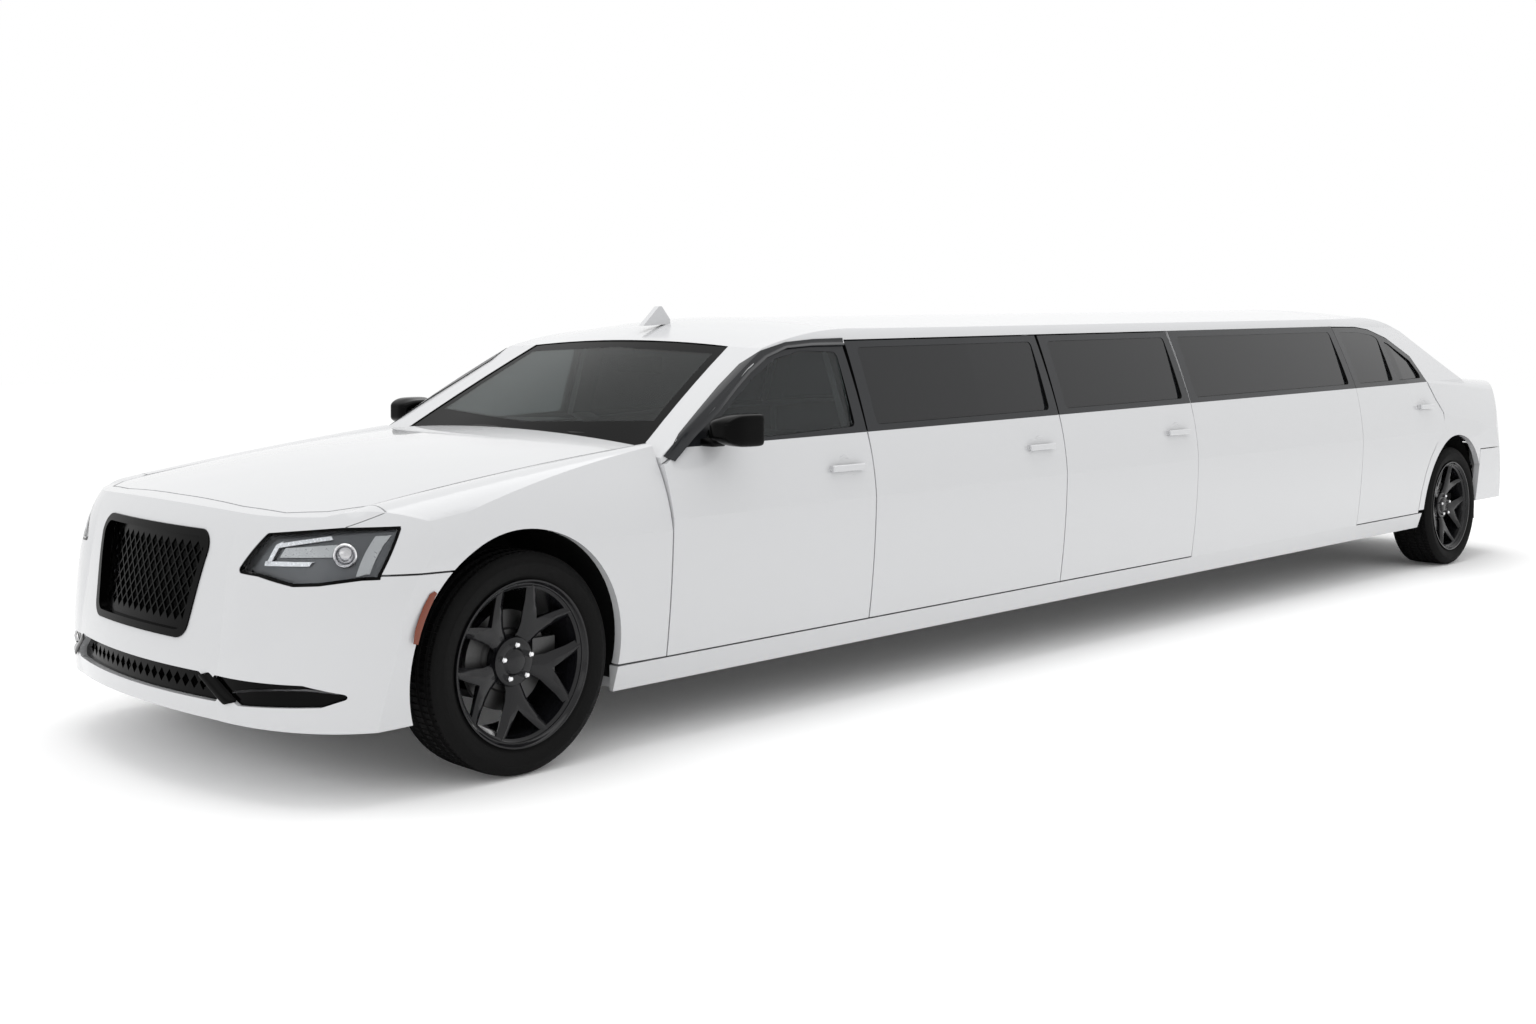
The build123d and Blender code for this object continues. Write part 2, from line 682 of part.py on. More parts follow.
def rear_panels():
    shell = rear_solid(0) - rear_solid(PANEL)
    lid_room = box(-LID_X, LID_X, LID_FRONT, 8600, LID_LOW, 1300)
    lid = shell & lid_room
    lid_hole = box(-LID_X - SHUT_GAP, LID_X + SHUT_GAP, LID_FRONT - SHUT_GAP, 8600, LID_LOW - SHUT_GAP, 1300)
    bumper_room = box(-1000, 1000, BUMPER_FRONT, 8600, 100, BUMPER_TOP)
    bumper = (shell & bumper_room) - box(-1000, 1000, 7000, 8320, 0, REAR_TRAY_Z)
    for room in both(well_room(REAR_ARCH)):
        bumper -= room
    quarter = (shell & box(0, 1000, 6000, 8600, REAR_TRAY_Z, 1300)) - lid_hole
    quarter -= box(0, 1000, BUMPER_FRONT - SHUT_GAP, 8600, 0, BUMPER_TOP + SHUT_GAP)
    quarter -= box(0, 780, 6000, LID_FRONT - SHUT_GAP, 0, 1300)
    quarter -= polygon_yz(door_outline("rear", 0), 500, 1100)
    quarter -= box(0, 1000, 6000, LINE_B4 + 800, 0, 1300)
    quarter -= tube_x(500, 1100, *REAR_ARCH, ARCH_RADIUS)
    quarter -= well_room(REAR_ARCH)
    quarter -= tail_lamp_block(SEAT_GAP)
    lamp_shell = rear_solid(1) - rear_solid(70)
    return lid, bumper, quarter, both(lamp_shell & tail_lamp_block(0))


# Openings of the windscreen and the backlight, seen from the front
SCREEN_FACE = [(-738, 1000), (-731, 1049), (-591, 1381), (591, 1381), (731, 1049), (738, 1000)]
SCREEN_HEAD = 1404
BACKLIGHT_FACE = [(-662, 1130), (-655, 1160), (-560, 1430), (560, 1430), (655, 1160), (662, 1130)]
BACKLIGHT_HEAD = 1510
ROOF_FRONT = 1245
ROOF_REAR = 7150
ROOF_INSET = 92
COWL_X = 738


def screen_prism(face, head, s0, s1, gap):
    a, b, c, d, e, f = face
    def out(q, dx, dz):
        return (q[0] + dx * gap, s0, q[1] + dz * gap)
    edges = chain(out(a, -1, -1), out(b, -1, 0), out(c, -1, 1), ((0, s0, head + gap), out(d, 1, 1)), out(e, 1, 0),
                  out(f, 1, -1), out(a, -1, -1))
    return extrude(Face(Wire(edges)), amount=s1 - s0, dir=(0, 1, 0))


def roof_prism(gap):
    rows = [(s, interpolate(UPPER, s)[1] - ROOF_INSET - gap) for s in (1300, LINE_B1, BASE_STATION, LINE_B4, 6700)]
    rows = [(ROOF_FRONT, rows[0][1])] + rows + [(ROOF_REAR, rows[-1][1] - 20)]
    right = [(x, s) for s, x in rows]
    left = [(-x, s) for x, s in reversed(right)]
    return polygon_xy(right + left, 1250, 1800)


def largest(shape):
    """The main solid of a shape, without the slivers that a cut leaves beside it."""
    return sorted(shape.solids(), key=volume_of)[-1]


def volume_of(solid):
    return solid.volume


def greenhouse_parts():
    """Roof, side frames, windscreen and backlight."""
    outer = greenhouse_profile(0) & hall(0)
    shell = outer - (greenhouse_profile(35) & hall(PILLAR_REACH))
    for name in ("front", "second", "third", "panel", "rear"):
        opening = polygon_yz(door_outline(name, 0), 500, 1100)
        shell -= opening
        shell -= mirror(opening, Plane.YZ)
    screen_hole = screen_prism(SCREEN_FACE, SCREEN_HEAD, 500, 1330, 0)
    back_hole = screen_prism(BACKLIGHT_FACE, BACKLIGHT_HEAD, 6900, 7760, 0)
    shell = shell - screen_hole - back_hole
    roof = shell & roof_prism(0)
    cowl_room = box(-COWL_X, COWL_X, 500, 720, 0, 1040)
    cowl = largest(shell & cowl_room)
    sides = shell - roof_prism(-SEAT_GAP) - cowl_room
    sides -= box(-640, 640, 7500, 7800, 0, 1140)
    sides -= box(-COWL_X - 20, COWL_X + 20, 500, 900, 0, 1000)
    glass = (greenhouse_profile(4) & hall(1)) - greenhouse_profile(4 + SCREEN_GLASS)
    screen = glass & screen_prism(SCREEN_FACE, SCREEN_HEAD, 500, 1330, -SEAT_GAP)
    back = glass & screen_prism(BACKLIGHT_FACE, BACKLIGHT_HEAD, 6900, 7760, -SEAT_GAP)
    return roof_fin(roof), sides, screen, back, cowl


def roof_fin(roof):
    """The aerial's fin, a leaned wedge on the centre line of the roof."""
    outline = [(1345, 1462), (1500, 1470), (1500, 1490), (1452, 1545), (1436, 1545)]
    wide = polygon_yz(outline, -14, 14)
    return roof + wide


def frames(side_shell, quarter):
    """All of the fixed side: rocker, pillars, fixed panel, rail, quarter, one solid for each side."""
    left = (side_shell & box(0, 1100, 0, 9000, 0, 2000)) + quarter
    rocker = side_strip(rocker_wire, ROCKER_START, ROCKER_END)
    for centre in (FRONT_ARCH, REAR_ARCH):
        rocker -= well_room(centre)
        rocker -= tube_x(WELL_OUTER_X, 1100, *centre, ARCH_RADIUS)
    left += rocker
    for line in (LINE_B1, LINE_B2, LINE_B3, LINE_B4):
        left += side_strip(pillar_wire, line - PILLAR_HALF, line + PILLAR_HALF, SHUT_GAP)
    hinge_pillar = side_strip(pillar_wire, LINE_A + 30, LINE_A + 90, SHUT_GAP)
    left += hinge_pillar - box(0, 1000, 0, 1000, HINGE_PILLAR_TOP, 2000)
    left += side_panel("panel", 0)
    for name, line, station in (("front", LINE_B1, -35), ("second", LINE_B2, -35), ("third", LINE_B3, -35),
                                ("second", LINE_B1, 35), ("third", LINE_B2, 35), ("rear", LINE_B4, 35),
                                ("front", LINE_A, 60)):
        left += bump_stop(line + station)
    return both(left)


ROCKER_START = 400
ROCKER_END = 6880
HINGE_PILLAR_TOP = 985
STOP_Z = 700
STOP_RADIUS = 9
STOP_GAP = 0.8           # the door's inner face leans across the stop's end


def bump_stop(station):
    """A rubber stop on a pillar that a shut door rests against."""
    p = side_points(station)
    share = (STOP_Z - p["sill"][2]) / (p["belt"][2] - 10 - p["sill"][2])
    inner = p["sill"][0] + share * (p["belt"][0] - p["sill"][0]) - DOOR_DEPTH
    return tube_x(inner - SHUT_GAP - 4, inner - STOP_GAP, station, STOP_Z, STOP_RADIUS)


# Floor and what stands on it
FLOOR_X = SILL_X - ROCKER_DEPTH - SEAT_GAP
FLOOR_Z = 250
FLOOR_DEPTH = 34
DASH_STATION = 610
KICK_STATION = 6830
BOOT_Z = 540
BOOT_REAR = 8300
WALL = 18


def well(centre, radius, x0, x1, low=250):
    """The space round one wheel: a round top with straight sides down."""
    top = tube_x(x0, x1, centre[0], centre[1], radius) - box(x0 - 1, x1 + 1, -1000, 9000, -1000, centre[1])
    return top + box(x0, x1, centre[0] - radius, centre[0] + radius, low, centre[1])


def liner(centre, x0, x1):
    return well(centre, WELL_RADIUS, x0, x1) - well(centre, WELL_RADIUS - WELL_WALL, x0 + WELL_WALL, x1 + 50, 0)


RAIL_IN = 340
RAIL_OUT = 424
RAIL_LOW = 370
RAIL_HIGH = 460
RADIATOR_TOP = 760


def underbody():
    low = [(DASH_STATION, raked(FLOOR_Z, DASH_STATION)), (KICK_STATION, raked(FLOOR_Z, KICK_STATION))]
    floor = polygon_yz([*low, (KICK_STATION, low[1][1] + FLOOR_DEPTH), (DASH_STATION, low[0][1] + FLOOR_DEPTH)], -FLOOR_X, FLOOR_X)
    tub = floor + box(-FLOOR_X, FLOOR_X, DASH_STATION, DASH_STATION + 18, low[0][1], 975)
    tub += box(-FLOOR_X, FLOOR_X, KICK_STATION, KICK_STATION + 18, low[1][1], BOOT_Z + 18)
    tub += box(-FLOOR_X, FLOOR_X, KICK_STATION, BOOT_REAR - 100, BOOT_Z, BOOT_Z + 18)
    tub += box(-LID_X + 44, LID_X - 44, BOOT_REAR - 110, BOOT_REAR, BOOT_Z, BOOT_Z + 18)
    tub += box(-LID_X + 44, LID_X - 44, BOOT_REAR - 18, BOOT_REAR, 420, 690)
    tub += box(-FLOOR_X + 25, FLOOR_X - 25, 7600, 7618, BOOT_Z, 1090)
    tub += box(-690, 690, DASH_STATION, 690, 975, 990)
    for rail in (box(RAIL_IN, RAIL_OUT, -790, DASH_STATION + 10, RAIL_LOW, RAIL_HIGH),
                 box(RAIL_IN, RAIL_OUT, DASH_STATION, KICK_STATION + 10, 215, 270),
                 box(RAIL_IN, RAIL_OUT, KICK_STATION, BOOT_REAR, BOOT_Z - 85, BOOT_Z + 4)):
        for side in both(rail):
            tub += side
    for centre, inner in ((FRONT_ARCH, WELL_INNER_X), (REAR_ARCH, 560)):
        for room in both(well(centre, WELL_RADIUS, inner, 1000, 0)):
            tub -= room
        for side in both(liner(centre, inner, WELL_OUTER_X)):
            tub += side
    for slot in both(box(WELL_INNER_X - 10, WELL_INNER_X + 10, -85, 115, UPPER_ARM_Z - 8, UPPER_ARM_Z + ARM_DEPTH + 8)):
        tub -= slot
    for slot in both(box(550, 575, WHEELBASE - 80, WHEELBASE + 80, 0, WHEEL_Z + 80)):
        tub -= slot
    tub += box(-RAIL_IN - 5, RAIL_IN + 5, -790, -770, RAIL_LOW, RADIATOR_TOP)
    for post in both(box(280, 310, -725, -695, RADIATOR_TOP - 25, 1200)):
        tub += post & front_solid(PANEL + SEAT_GAP)
    for foot in both(box(280, 310, -790, -695, RADIATOR_TOP - 25, RADIATOR_TOP)):
        tub += foot
    for stop in both(box(480, 540, BOOT_REAR - 18, 8600, 650, LID_LOW + 26)):
        tub += stop & rear_solid(PANEL + SEAT_GAP)
    return tub


def length_of_car(start, end):
    """A box that holds everything between two stations."""
    return box(-HALF_WIDTH, HALF_WIDTH, start, end, 0, 1200)


def seats():
    def couch(x0, x1, s0, s1, z0, facing, height=480):
        """Cushion and back. facing is the way that the sitter looks: -1 front, 1 rear, 0 sideways."""
        cushion = fillet(box(x0, x1, s0, s1, z0, z0 + 210).edges(), 35)
        if facing:
            back_s = (s1 - 130, s1) if facing < 0 else (s0, s0 + 130)
            back = box(x0, x1, *back_s, z0 + 60, z0 + 210 + height)
        else:
            back = box(x0, x0 + 130, s0, s1, z0 + 60, z0 + 210 + height)
        return cushion + fillet(back.edges(), 35)
    base = raked(FLOOR_Z, 1500) + FLOOR_DEPTH
    def on_floor(station):
        return raked(FLOOR_Z, station) + FLOOR_DEPTH + SEAT_GAP + RAKE * 300
    rows = [couch(110, 620, 1250, 1800, on_floor(1525), -1, 540), couch(-620, -110, 1250, 1800, on_floor(1525), -1, 540)]
    rows.append(couch(-640, 640, 6150, 6800, on_floor(6500), -1, 500))
    rows.append(couch(-660, -100 - 60, 3300, 5500, on_floor(5200), 0, 440))
    return rows


def dashboard():
    """Dashboard with the steering wheel on its column."""
    top = box(-690, 690, 730, 1000, 790, 960)
    top = fillet(top.edges().filter_by(Axis.X), 60)
    console = box(-120, 120, 900, 1240, raked(FLOOR_Z, 1240) + FLOOR_DEPTH + SEAT_GAP, 620) + box(-120, 120, 860, 990, 560, 830)
    column = Pos(360, 1030, 840) * Rot(65, 0, 0) * Cylinder(28, 200)
    wheel = Pos(360, 1110, 880) * Rot(65, 0, 0) * Torus(180, 15)
    spoke = Pos(360, 1110, 880) * Rot(65, 0, 0) * (Box(350, 40, 14) + Cylinder(60, 40))
    return top + console + column + wheel + spoke


def wheel_solid():
    """Rim, five forked spokes, hub and brake disc. +X is the outer face."""
    half = RIM_WIDTH / 2
    rim = revolve_x([(RIM_RADIUS, half), (RIM_RADIUS, half - 9), (255.7, half - 14), (255.7, 14 - half), (RIM_RADIUS, 9 - half),
                     (RIM_RADIUS, -half), (262, -half), (243, 20 - half), (236, 50), (250, 96), (264, half)])
    hub = tube_x(22, 84, 0, 0, 72) - tube_x(20, 60, 0, 0, BORE_RADIUS)
    disc = tube_x(-22, 6, 0, 0, 172) + tube_x(5, 24, 0, 0, 88) - tube_x(-30, 60, 0, 0, BORE_RADIUS)
    spokes = hub + disc
    arm = [(-30, 50), (-27, 105), (-62, 190), (-80, 246), (-44, 252), (-30, 200), (0, 135), (30, 200), (44, 252), (80, 246),
           (62, 190), (27, 105), (30, 50)]
    for i in range(SPOKES):
        piece = polygon_yz(arm, 58, 92, 5)
        spokes += Rot(360 / SPOKES * i, 0, 0) * piece
    return rim + (spokes & tube_x(-half, half, 0, 0, 252))


def revolve_x(points):
    """Turn an outline of (radius, x) points about the X axis."""
    face = Face(Wire.make_polygon([Vector(x, 0, r) for r, x in points], close=True))
    return revolve(face, Axis.X, 360)


def tyre_solid():
    half = TYRE_WIDTH / 2
    bead = RIM_WIDTH / 2 - BEAD_INSET
    right = [(BEAD_RADIUS, bead), (FLANGE_RADIUS, bead + 3), (WALL_RADIUS, half), (TYRE_RADIUS, half - SHOULDER)]
    left = [(r, -x) for r, x in reversed(right)]
    return revolve_x(right + left)


KNUCKLE_TOP = 130
KNUCKLE_LOW = -120
ARM_DEPTH = 24
UPPER_ARM_Z = WHEEL_Z + KNUCKLE_TOP + SEAT_GAP
LOWER_ARM_Z = WHEEL_Z + KNUCKLE_LOW - SEAT_GAP - ARM_DEPTH
UPRIGHT_X = KINGPIN_X - HALF_TRACK


def knuckle():
    """Front hub carrier with its spindle and the brake caliper, about the wheel's centre."""
    x = UPRIGHT_X
    post = Pos(x, 0, (KNUCKLE_TOP + KNUCKLE_LOW) / 2) * Cylinder(22, KNUCKLE_TOP - KNUCKLE_LOW)
    carrier = tube_x(x - 20, -30, 0, 0, 62)
    spindle = tube_x(x, 50, 0, 0, BORE_RADIUS - SEAT_GAP)
    bridge = box(-60, 34, 95, 190, -60, 60) - box(-28, 12, 80, 178, -80, 80)
    arm = box(x - 10, -40, 20, 150, -30, 30)
    return post + carrier + spindle + bridge + arm


def suspension():
    """Front crossmember with a tower at each end, and the arms that hold the knuckles."""
    tower_x = RAIL_IN - SEAT_GAP
    out = box(-tower_x, tower_x, -70, 110, LOWER_ARM_Z, LOWER_ARM_Z + 60)
    for sign in (1, -1):
        out += box(sign * (tower_x - 20), sign * tower_x, -70, 110, LOWER_ARM_Z, UPPER_ARM_Z + ARM_DEPTH)
        for z in (UPPER_ARM_Z, LOWER_ARM_Z):
            plan = [(KINGPIN_X + 24, -22), (KINGPIN_X + 24, 22), (tower_x - 10, 105), (tower_x - 10, -65)]
            out += polygon_xy([(sign * x, s) for x, s in plan], z, z + ARM_DEPTH)
    return out


def rear_axle():
    """Rear subframe, arms and hub carriers with the spindles that carry the rear wheels."""
    s = WHEELBASE
    beam = box(-330, 330, s - 160, s + 160, WHEEL_Z - 60, WHEEL_Z + 60)
    beam += box(-RAIL_OUT, RAIL_OUT, s - 60, s + 60, WHEEL_Z + 40, BOOT_Z - 85 - SEAT_GAP)
    for sign in (1, -1):
        beam += tube_x(sign * 320, sign * (HALF_TRACK + UPRIGHT_X + 10), s, WHEEL_Z, 32)
        beam += tube_x(sign * (HALF_TRACK + UPRIGHT_X - 20), sign * (HALF_TRACK - 30), s, WHEEL_Z, 70)
        beam += tube_x(sign * (HALF_TRACK - 40), sign * (HALF_TRACK + 50), s, WHEEL_Z, BORE_RADIUS - SEAT_GAP)
        x0, x1 = sign * (HALF_TRACK - 60), sign * (HALF_TRACK + 34)
        caliper = box(min(x0, x1), max(x0, x1), s + 95, s + 190, WHEEL_Z - 60, WHEEL_Z + 60)
        slot = sorted((sign * (HALF_TRACK - 28), sign * (HALF_TRACK + 12)))
        beam += caliper - box(slot[0], slot[1], s + 80, s + 178, WHEEL_Z - 80, WHEEL_Z + 80)
        link = sorted((sign * (HALF_TRACK - 60), sign * (HALF_TRACK - 40)))
        beam += box(link[0], link[1], s + 20, s + 150, WHEEL_Z - 30, WHEEL_Z + 30)
    return beam


def engine():
    """One block for the engine and gearbox, on two mounts between the rails."""
    block = box(-260, 260, -560, 380, 380, 760)
    for side in both(box(250, RAIL_IN - SEAT_GAP, 160, 230, RAIL_LOW + 20, RAIL_LOW + 70)):
        block += side
    return block


MIRROR_PLAN = [(922, 800), (958, 790), (1038, 858), (1068, 905), (1062, 958), (1030, 972), (922, 972)]
MIRROR_FACE = [(918, 1082), (934, 1124), (966, 1150), (1046, 1150), (1072, 1122), (1070, 1056), (1038, 1028), (962, 1028)]

MIRROR_FOOT_Z = 1030      # under the glass
MIRROR_ARM_X = 890        # outboard of the glass


def mirror_housing(front_door):
    """A housing that is swept back in plan and tapers inboard, on a stalk from the door."""
    shell = polygon_xy(MIRROR_PLAN, 1000, 1200) & polygon_xz(MIRROR_FACE, 700, 1100)
    shell = fillet(shell.edges(), 11)
    foot = box(870, 950, 806, 880, 1012, MIRROR_FOOT_Z)
    stalk = foot + box(MIRROR_ARM_X, 950, 806, 880, 1012, 1072)
    return shell + (stalk - front_door)


def placed(solid, station, side):
    turned = solid if side > 0 else mirror(solid, Plane.YZ)
    return Pos(side * HALF_TRACK, station, WHEEL_Z) * turned


os.makedirs("parts", exist_ok=True)

hood, fenders, front_bumper = front_panels()
save(hood, "hood")
save(fenders, "front_fenders")
save(front_bumper, "front_bumper")
grilles, headlamps = front_fittings()
save(grilles, "grilles")
save(headlamps, "headlamps")
lid, rear_bumper, quarter, tail_lamps = rear_panels()
save(lid, "trunk_lid")
save(rear_bumper, "rear_bumper")
save(tail_lamps, "tail_lamps")
roof, side_frames, windshield, rear_window, cowl = greenhouse_parts()
save(roof, "roof")
save(windshield, "windshield")
save(rear_window, "rear_window")
save(frames(side_frames, quarter), "body_sides")
tub = underbody()
save(tub & length_of_car(-FRONT_OVERHANG, DASH_STATION - SEAT_GAP), "front_frame")
save((tub & length_of_car(DASH_STATION, KICK_STATION + WALL)) + cowl, "underbody")
save(tub & length_of_car(KICK_STATION + WALL + SEAT_GAP, WHEELBASE + REAR_OVERHANG), "trunk_floor")
save(seats(), "seats")
save(dashboard(), "dashboard")
save(engine(), "engine")
save(suspension(), "front_suspension")
save(rear_axle(), "rear_axle")
fixed_panes = []
for pane in panes("panel"):
    fixed_panes += both(pane)
save(fixed_panes, "fixed_side_glass")
for name in ("front", "second", "third", "rear"):
    leaf = door(name)
    glass = panes(name)
    for side, word in ((LEFT, "left"), (RIGHT, "right")):
        save(leaf if side > 0 else mirror(leaf, Plane.YZ), f"{name}_door_{word}")
        save([pane if side > 0 else mirror(pane, Plane.YZ) for pane in glass], f"{name}_door_glass_{word}")
        if name == "front":
            housing = mirror_housing(leaf)
            save(housing if side > 0 else mirror(housing, Plane.YZ), f"door_mirror_{word}")
wheel, tyre, carrier = wheel_solid(), tyre_solid(), knuckle()
for end, station in (("front", 0), ("rear", WHEELBASE)):
    for side, word in ((LEFT, "left"), (RIGHT, "right")):
        save(placed(wheel, station, side), f"wheel_{end}_{word}")
        save(placed(tyre, station, side), f"tyre_{end}_{word}")
        if end == "front":
            save(placed(carrier, station, side), f"knuckle_{word}")
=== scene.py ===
import bpy
import bmesh
import json
import math
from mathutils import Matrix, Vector

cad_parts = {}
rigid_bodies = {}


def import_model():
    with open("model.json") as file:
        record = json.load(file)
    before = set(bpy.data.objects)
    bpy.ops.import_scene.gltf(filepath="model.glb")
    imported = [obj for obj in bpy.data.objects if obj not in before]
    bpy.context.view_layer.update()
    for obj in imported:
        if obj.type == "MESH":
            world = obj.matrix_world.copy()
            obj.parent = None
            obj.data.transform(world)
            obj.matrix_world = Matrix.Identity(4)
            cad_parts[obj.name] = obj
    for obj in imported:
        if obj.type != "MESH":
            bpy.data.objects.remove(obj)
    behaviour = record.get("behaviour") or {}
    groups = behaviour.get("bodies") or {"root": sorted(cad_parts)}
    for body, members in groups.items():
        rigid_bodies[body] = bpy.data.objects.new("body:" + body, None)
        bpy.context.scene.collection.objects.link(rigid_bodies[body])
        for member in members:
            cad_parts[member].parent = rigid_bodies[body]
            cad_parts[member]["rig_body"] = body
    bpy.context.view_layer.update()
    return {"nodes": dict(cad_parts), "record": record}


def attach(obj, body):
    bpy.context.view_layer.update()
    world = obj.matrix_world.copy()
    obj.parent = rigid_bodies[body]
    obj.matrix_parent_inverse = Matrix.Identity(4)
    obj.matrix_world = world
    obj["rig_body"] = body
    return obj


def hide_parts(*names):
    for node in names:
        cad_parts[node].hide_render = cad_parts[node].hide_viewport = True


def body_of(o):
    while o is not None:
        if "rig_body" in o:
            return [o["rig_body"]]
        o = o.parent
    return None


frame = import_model()
nodes = frame["nodes"]


# Places along the car are given as stations, metres behind the front axle
FRONT_AXLE = -3.740
REAR_AXLE_STATION = 7.330
SIDES = (("left", 1), ("right", -1))


# Materials
def material(name, color, rough, metal=0.0, coat=0.0, transmission=0.0, ior=1.45, shine=0.5, glow=0.0):
    made = bpy.data.materials.new(name)
    made.use_nodes = True
    shader = made.node_tree.nodes["Principled BSDF"]
    shader.inputs["Base Color"].default_value = (*color, 1)
    shader.inputs["Roughness"].default_value = rough
    shader.inputs["Metallic"].default_value = metal
    shader.inputs["Coat Weight"].default_value = coat
    shader.inputs["Coat Roughness"].default_value = 0.03
    shader.inputs["Transmission Weight"].default_value = transmission
    shader.inputs["IOR"].default_value = ior
    shader.inputs["Specular IOR Level"].default_value = shine
    shader.inputs["Emission Color"].default_value = (1, 1, 1, 1)
    shader.inputs["Emission Strength"].default_value = glow
    return made


def mottled(made, scale, amount, bump=0.0):
    tree = made.node_tree
    shader = tree.nodes["Principled BSDF"]
    place = tree.nodes.new("ShaderNodeTexCoord")
    noise = tree.nodes.new("ShaderNodeTexNoise")
    noise.inputs["Scale"].default_value = scale
    tree.links.new(place.outputs["Object"], noise.inputs["Vector"])
    spread = tree.nodes.new("ShaderNodeMapRange")
    rough = shader.inputs["Roughness"].default_value
    spread.inputs["To Min"].default_value = max(0, rough - amount)
    spread.inputs["To Max"].default_value = min(1, rough + amount)
    tree.links.new(noise.outputs["Fac"], spread.inputs["Value"])
    tree.links.new(spread.outputs["Result"], shader.inputs["Roughness"])
    if bump:
        lump = tree.nodes.new("ShaderNodeBump")
        lump.inputs["Strength"].default_value = bump
        lump.inputs["Distance"].default_value = 0.001
        tree.links.new(noise.outputs["Fac"], lump.inputs["Height"])
        tree.links.new(lump.outputs["Normal"], shader.inputs["Normal"])
    return made


PRINT_BLACK = (0.003, 0.003, 0.003, 1)


def bordered(made, edges):
    """Glass with a dark printed border, wherever a weighted sum of |x|, |y| and z passes its limit."""
    tree = made.node_tree
    shader = tree.nodes["Principled BSDF"]
    place = tree.nodes.new("ShaderNodeTexCoord")
    sizes = tree.nodes.new("ShaderNodeVectorMath")
    sizes.operation = "ABSOLUTE"
    tree.links.new(place.outputs["Object"], sizes.inputs[0])
    border = None
    for weights, limit in edges:
        total = tree.nodes.new("ShaderNodeVectorMath")
        total.operation = "DOT_PRODUCT"
        total.inputs[1].default_value = weights
        tree.links.new(sizes.outputs["Vector"], total.inputs[0])
        past = tree.nodes.new("ShaderNodeMath")
        past.operation = "GREATER_THAN"
        past.inputs[1].default_value = limit
        tree.links.new(total.outputs["Value"], past.inputs[0])
        if border:
            either = tree.nodes.new("ShaderNodeMath")
            either.operation = "MAXIMUM"
            tree.links.new(border.outputs["Value"], either.inputs[0])
            tree.links.new(past.outputs["Value"], either.inputs[1])
            border = either
        else:
            border = past
    tint = tree.nodes.new("ShaderNodeMix")
    tint.data_type = "RGBA"
    tint.inputs["A"].default_value = shader.inputs["Base Color"].default_value
    tint.inputs["B"].default_value = PRINT_BLACK
    clear = tree.nodes.new("ShaderNodeMapRange")
    clear.inputs["To Min"].default_value = shader.inputs["Transmission Weight"].default_value
    clear.inputs["To Max"].default_value = 0
    tree.links.new(border.outputs["Value"], tint.inputs["Factor"])
    tree.links.new(border.outputs["Value"], clear.inputs["Value"])
    tree.links.new(tint.outputs["Result"], shader.inputs["Base Color"])
    tree.links.new(clear.outputs["Result"], shader.inputs["Transmission Weight"])
    return made


WHITE = material("white_paint", (0.545, 0.55, 0.56), 0.25, coat=0.6)
GLOSS_BLACK = material("gloss_black", (0.001, 0.001, 0.001), 0.16, coat=0.01, shine=0.07)
SATIN_BLACK = mottled(material("satin_black", (0.012, 0.012, 0.012), 0.5, shine=0.3), 60, 0.08)
CLEAR = material("clear_glass", (0.26, 0.285, 0.29), 0.0, transmission=0.96, ior=1.3)
SCREEN_EDGES = [((1, 0, 0.42), 1.118), ((0.04, 0, 1), 1.375), ((0.04, 0, -1), -1.085)]
SCREEN_GLASS = material("screen_glass", (0.22, 0.24, 0.235), 0.0, transmission=0.96, ior=1.14, shine=0.3)
SCREEN = bordered(SCREEN_GLASS, SCREEN_EDGES)
PRIVACY = material("privacy_glass", (0.012, 0.013, 0.015), 0.02, transmission=0.5, ior=1.4)
LENS = material("lens", (0.92, 0.93, 0.95), 0.02, transmission=1.0, ior=1.2)
RED = material("red_lens", (0.30, 0.008, 0.008), 0.08, coat=0.5)
WHEEL_BLACK = material("wheel_black", (0.005, 0.005, 0.006), 0.2, coat=0.15, shine=0.3)
RUBBER = mottled(material("rubber", (0.005, 0.005, 0.005), 0.75, shine=0.12), 90, 0.08, 0.25)
CHASSIS = mottled(material("chassis_black", (0.006, 0.006, 0.006), 0.7, shine=0.15), 40, 0.1)
IRON = mottled(material("iron", (0.09, 0.09, 0.09), 0.5, metal=1.0), 120, 0.1)
LEATHER = mottled(material("leather", (0.02, 0.019, 0.018), 0.45), 300, 0.1, 0.3)
CHROME = material("chrome", (0.75, 0.75, 0.76), 0.08, metal=1.0)
SILVER = material("silver", (0.5, 0.5, 0.51), 0.25, metal=1.0)
AMBER = material("amber", (0.16, 0.032, 0.012), 0.2, coat=0.1)
FRAME_BLACK = material("frame_black", (0.012, 0.013, 0.015), 0.25, coat=0.15, shine=0.3)
SEAL = mottled(material("seal_rubber", (0.003, 0.003, 0.003), 0.7, shine=0.1), 200, 0.1)
TRIM = mottled(material("inner_trim", (0.02, 0.019, 0.018), 0.6, shine=0.3), 250, 0.1, 0.2)
LAMP_GREY = material("lamp_grey", (0.10, 0.105, 0.11), 0.3, metal=0.6)
LIT_STRIP = mottled(material("lit_strip", (0.72, 0.74, 0.76), 0.25, metal=0.3), 160, 0.2, 0.6)
REFLECTOR = mottled(material("reflector", (0.42, 0.435, 0.44), 0.35, metal=0.5), 120, 0.25, 0.6)

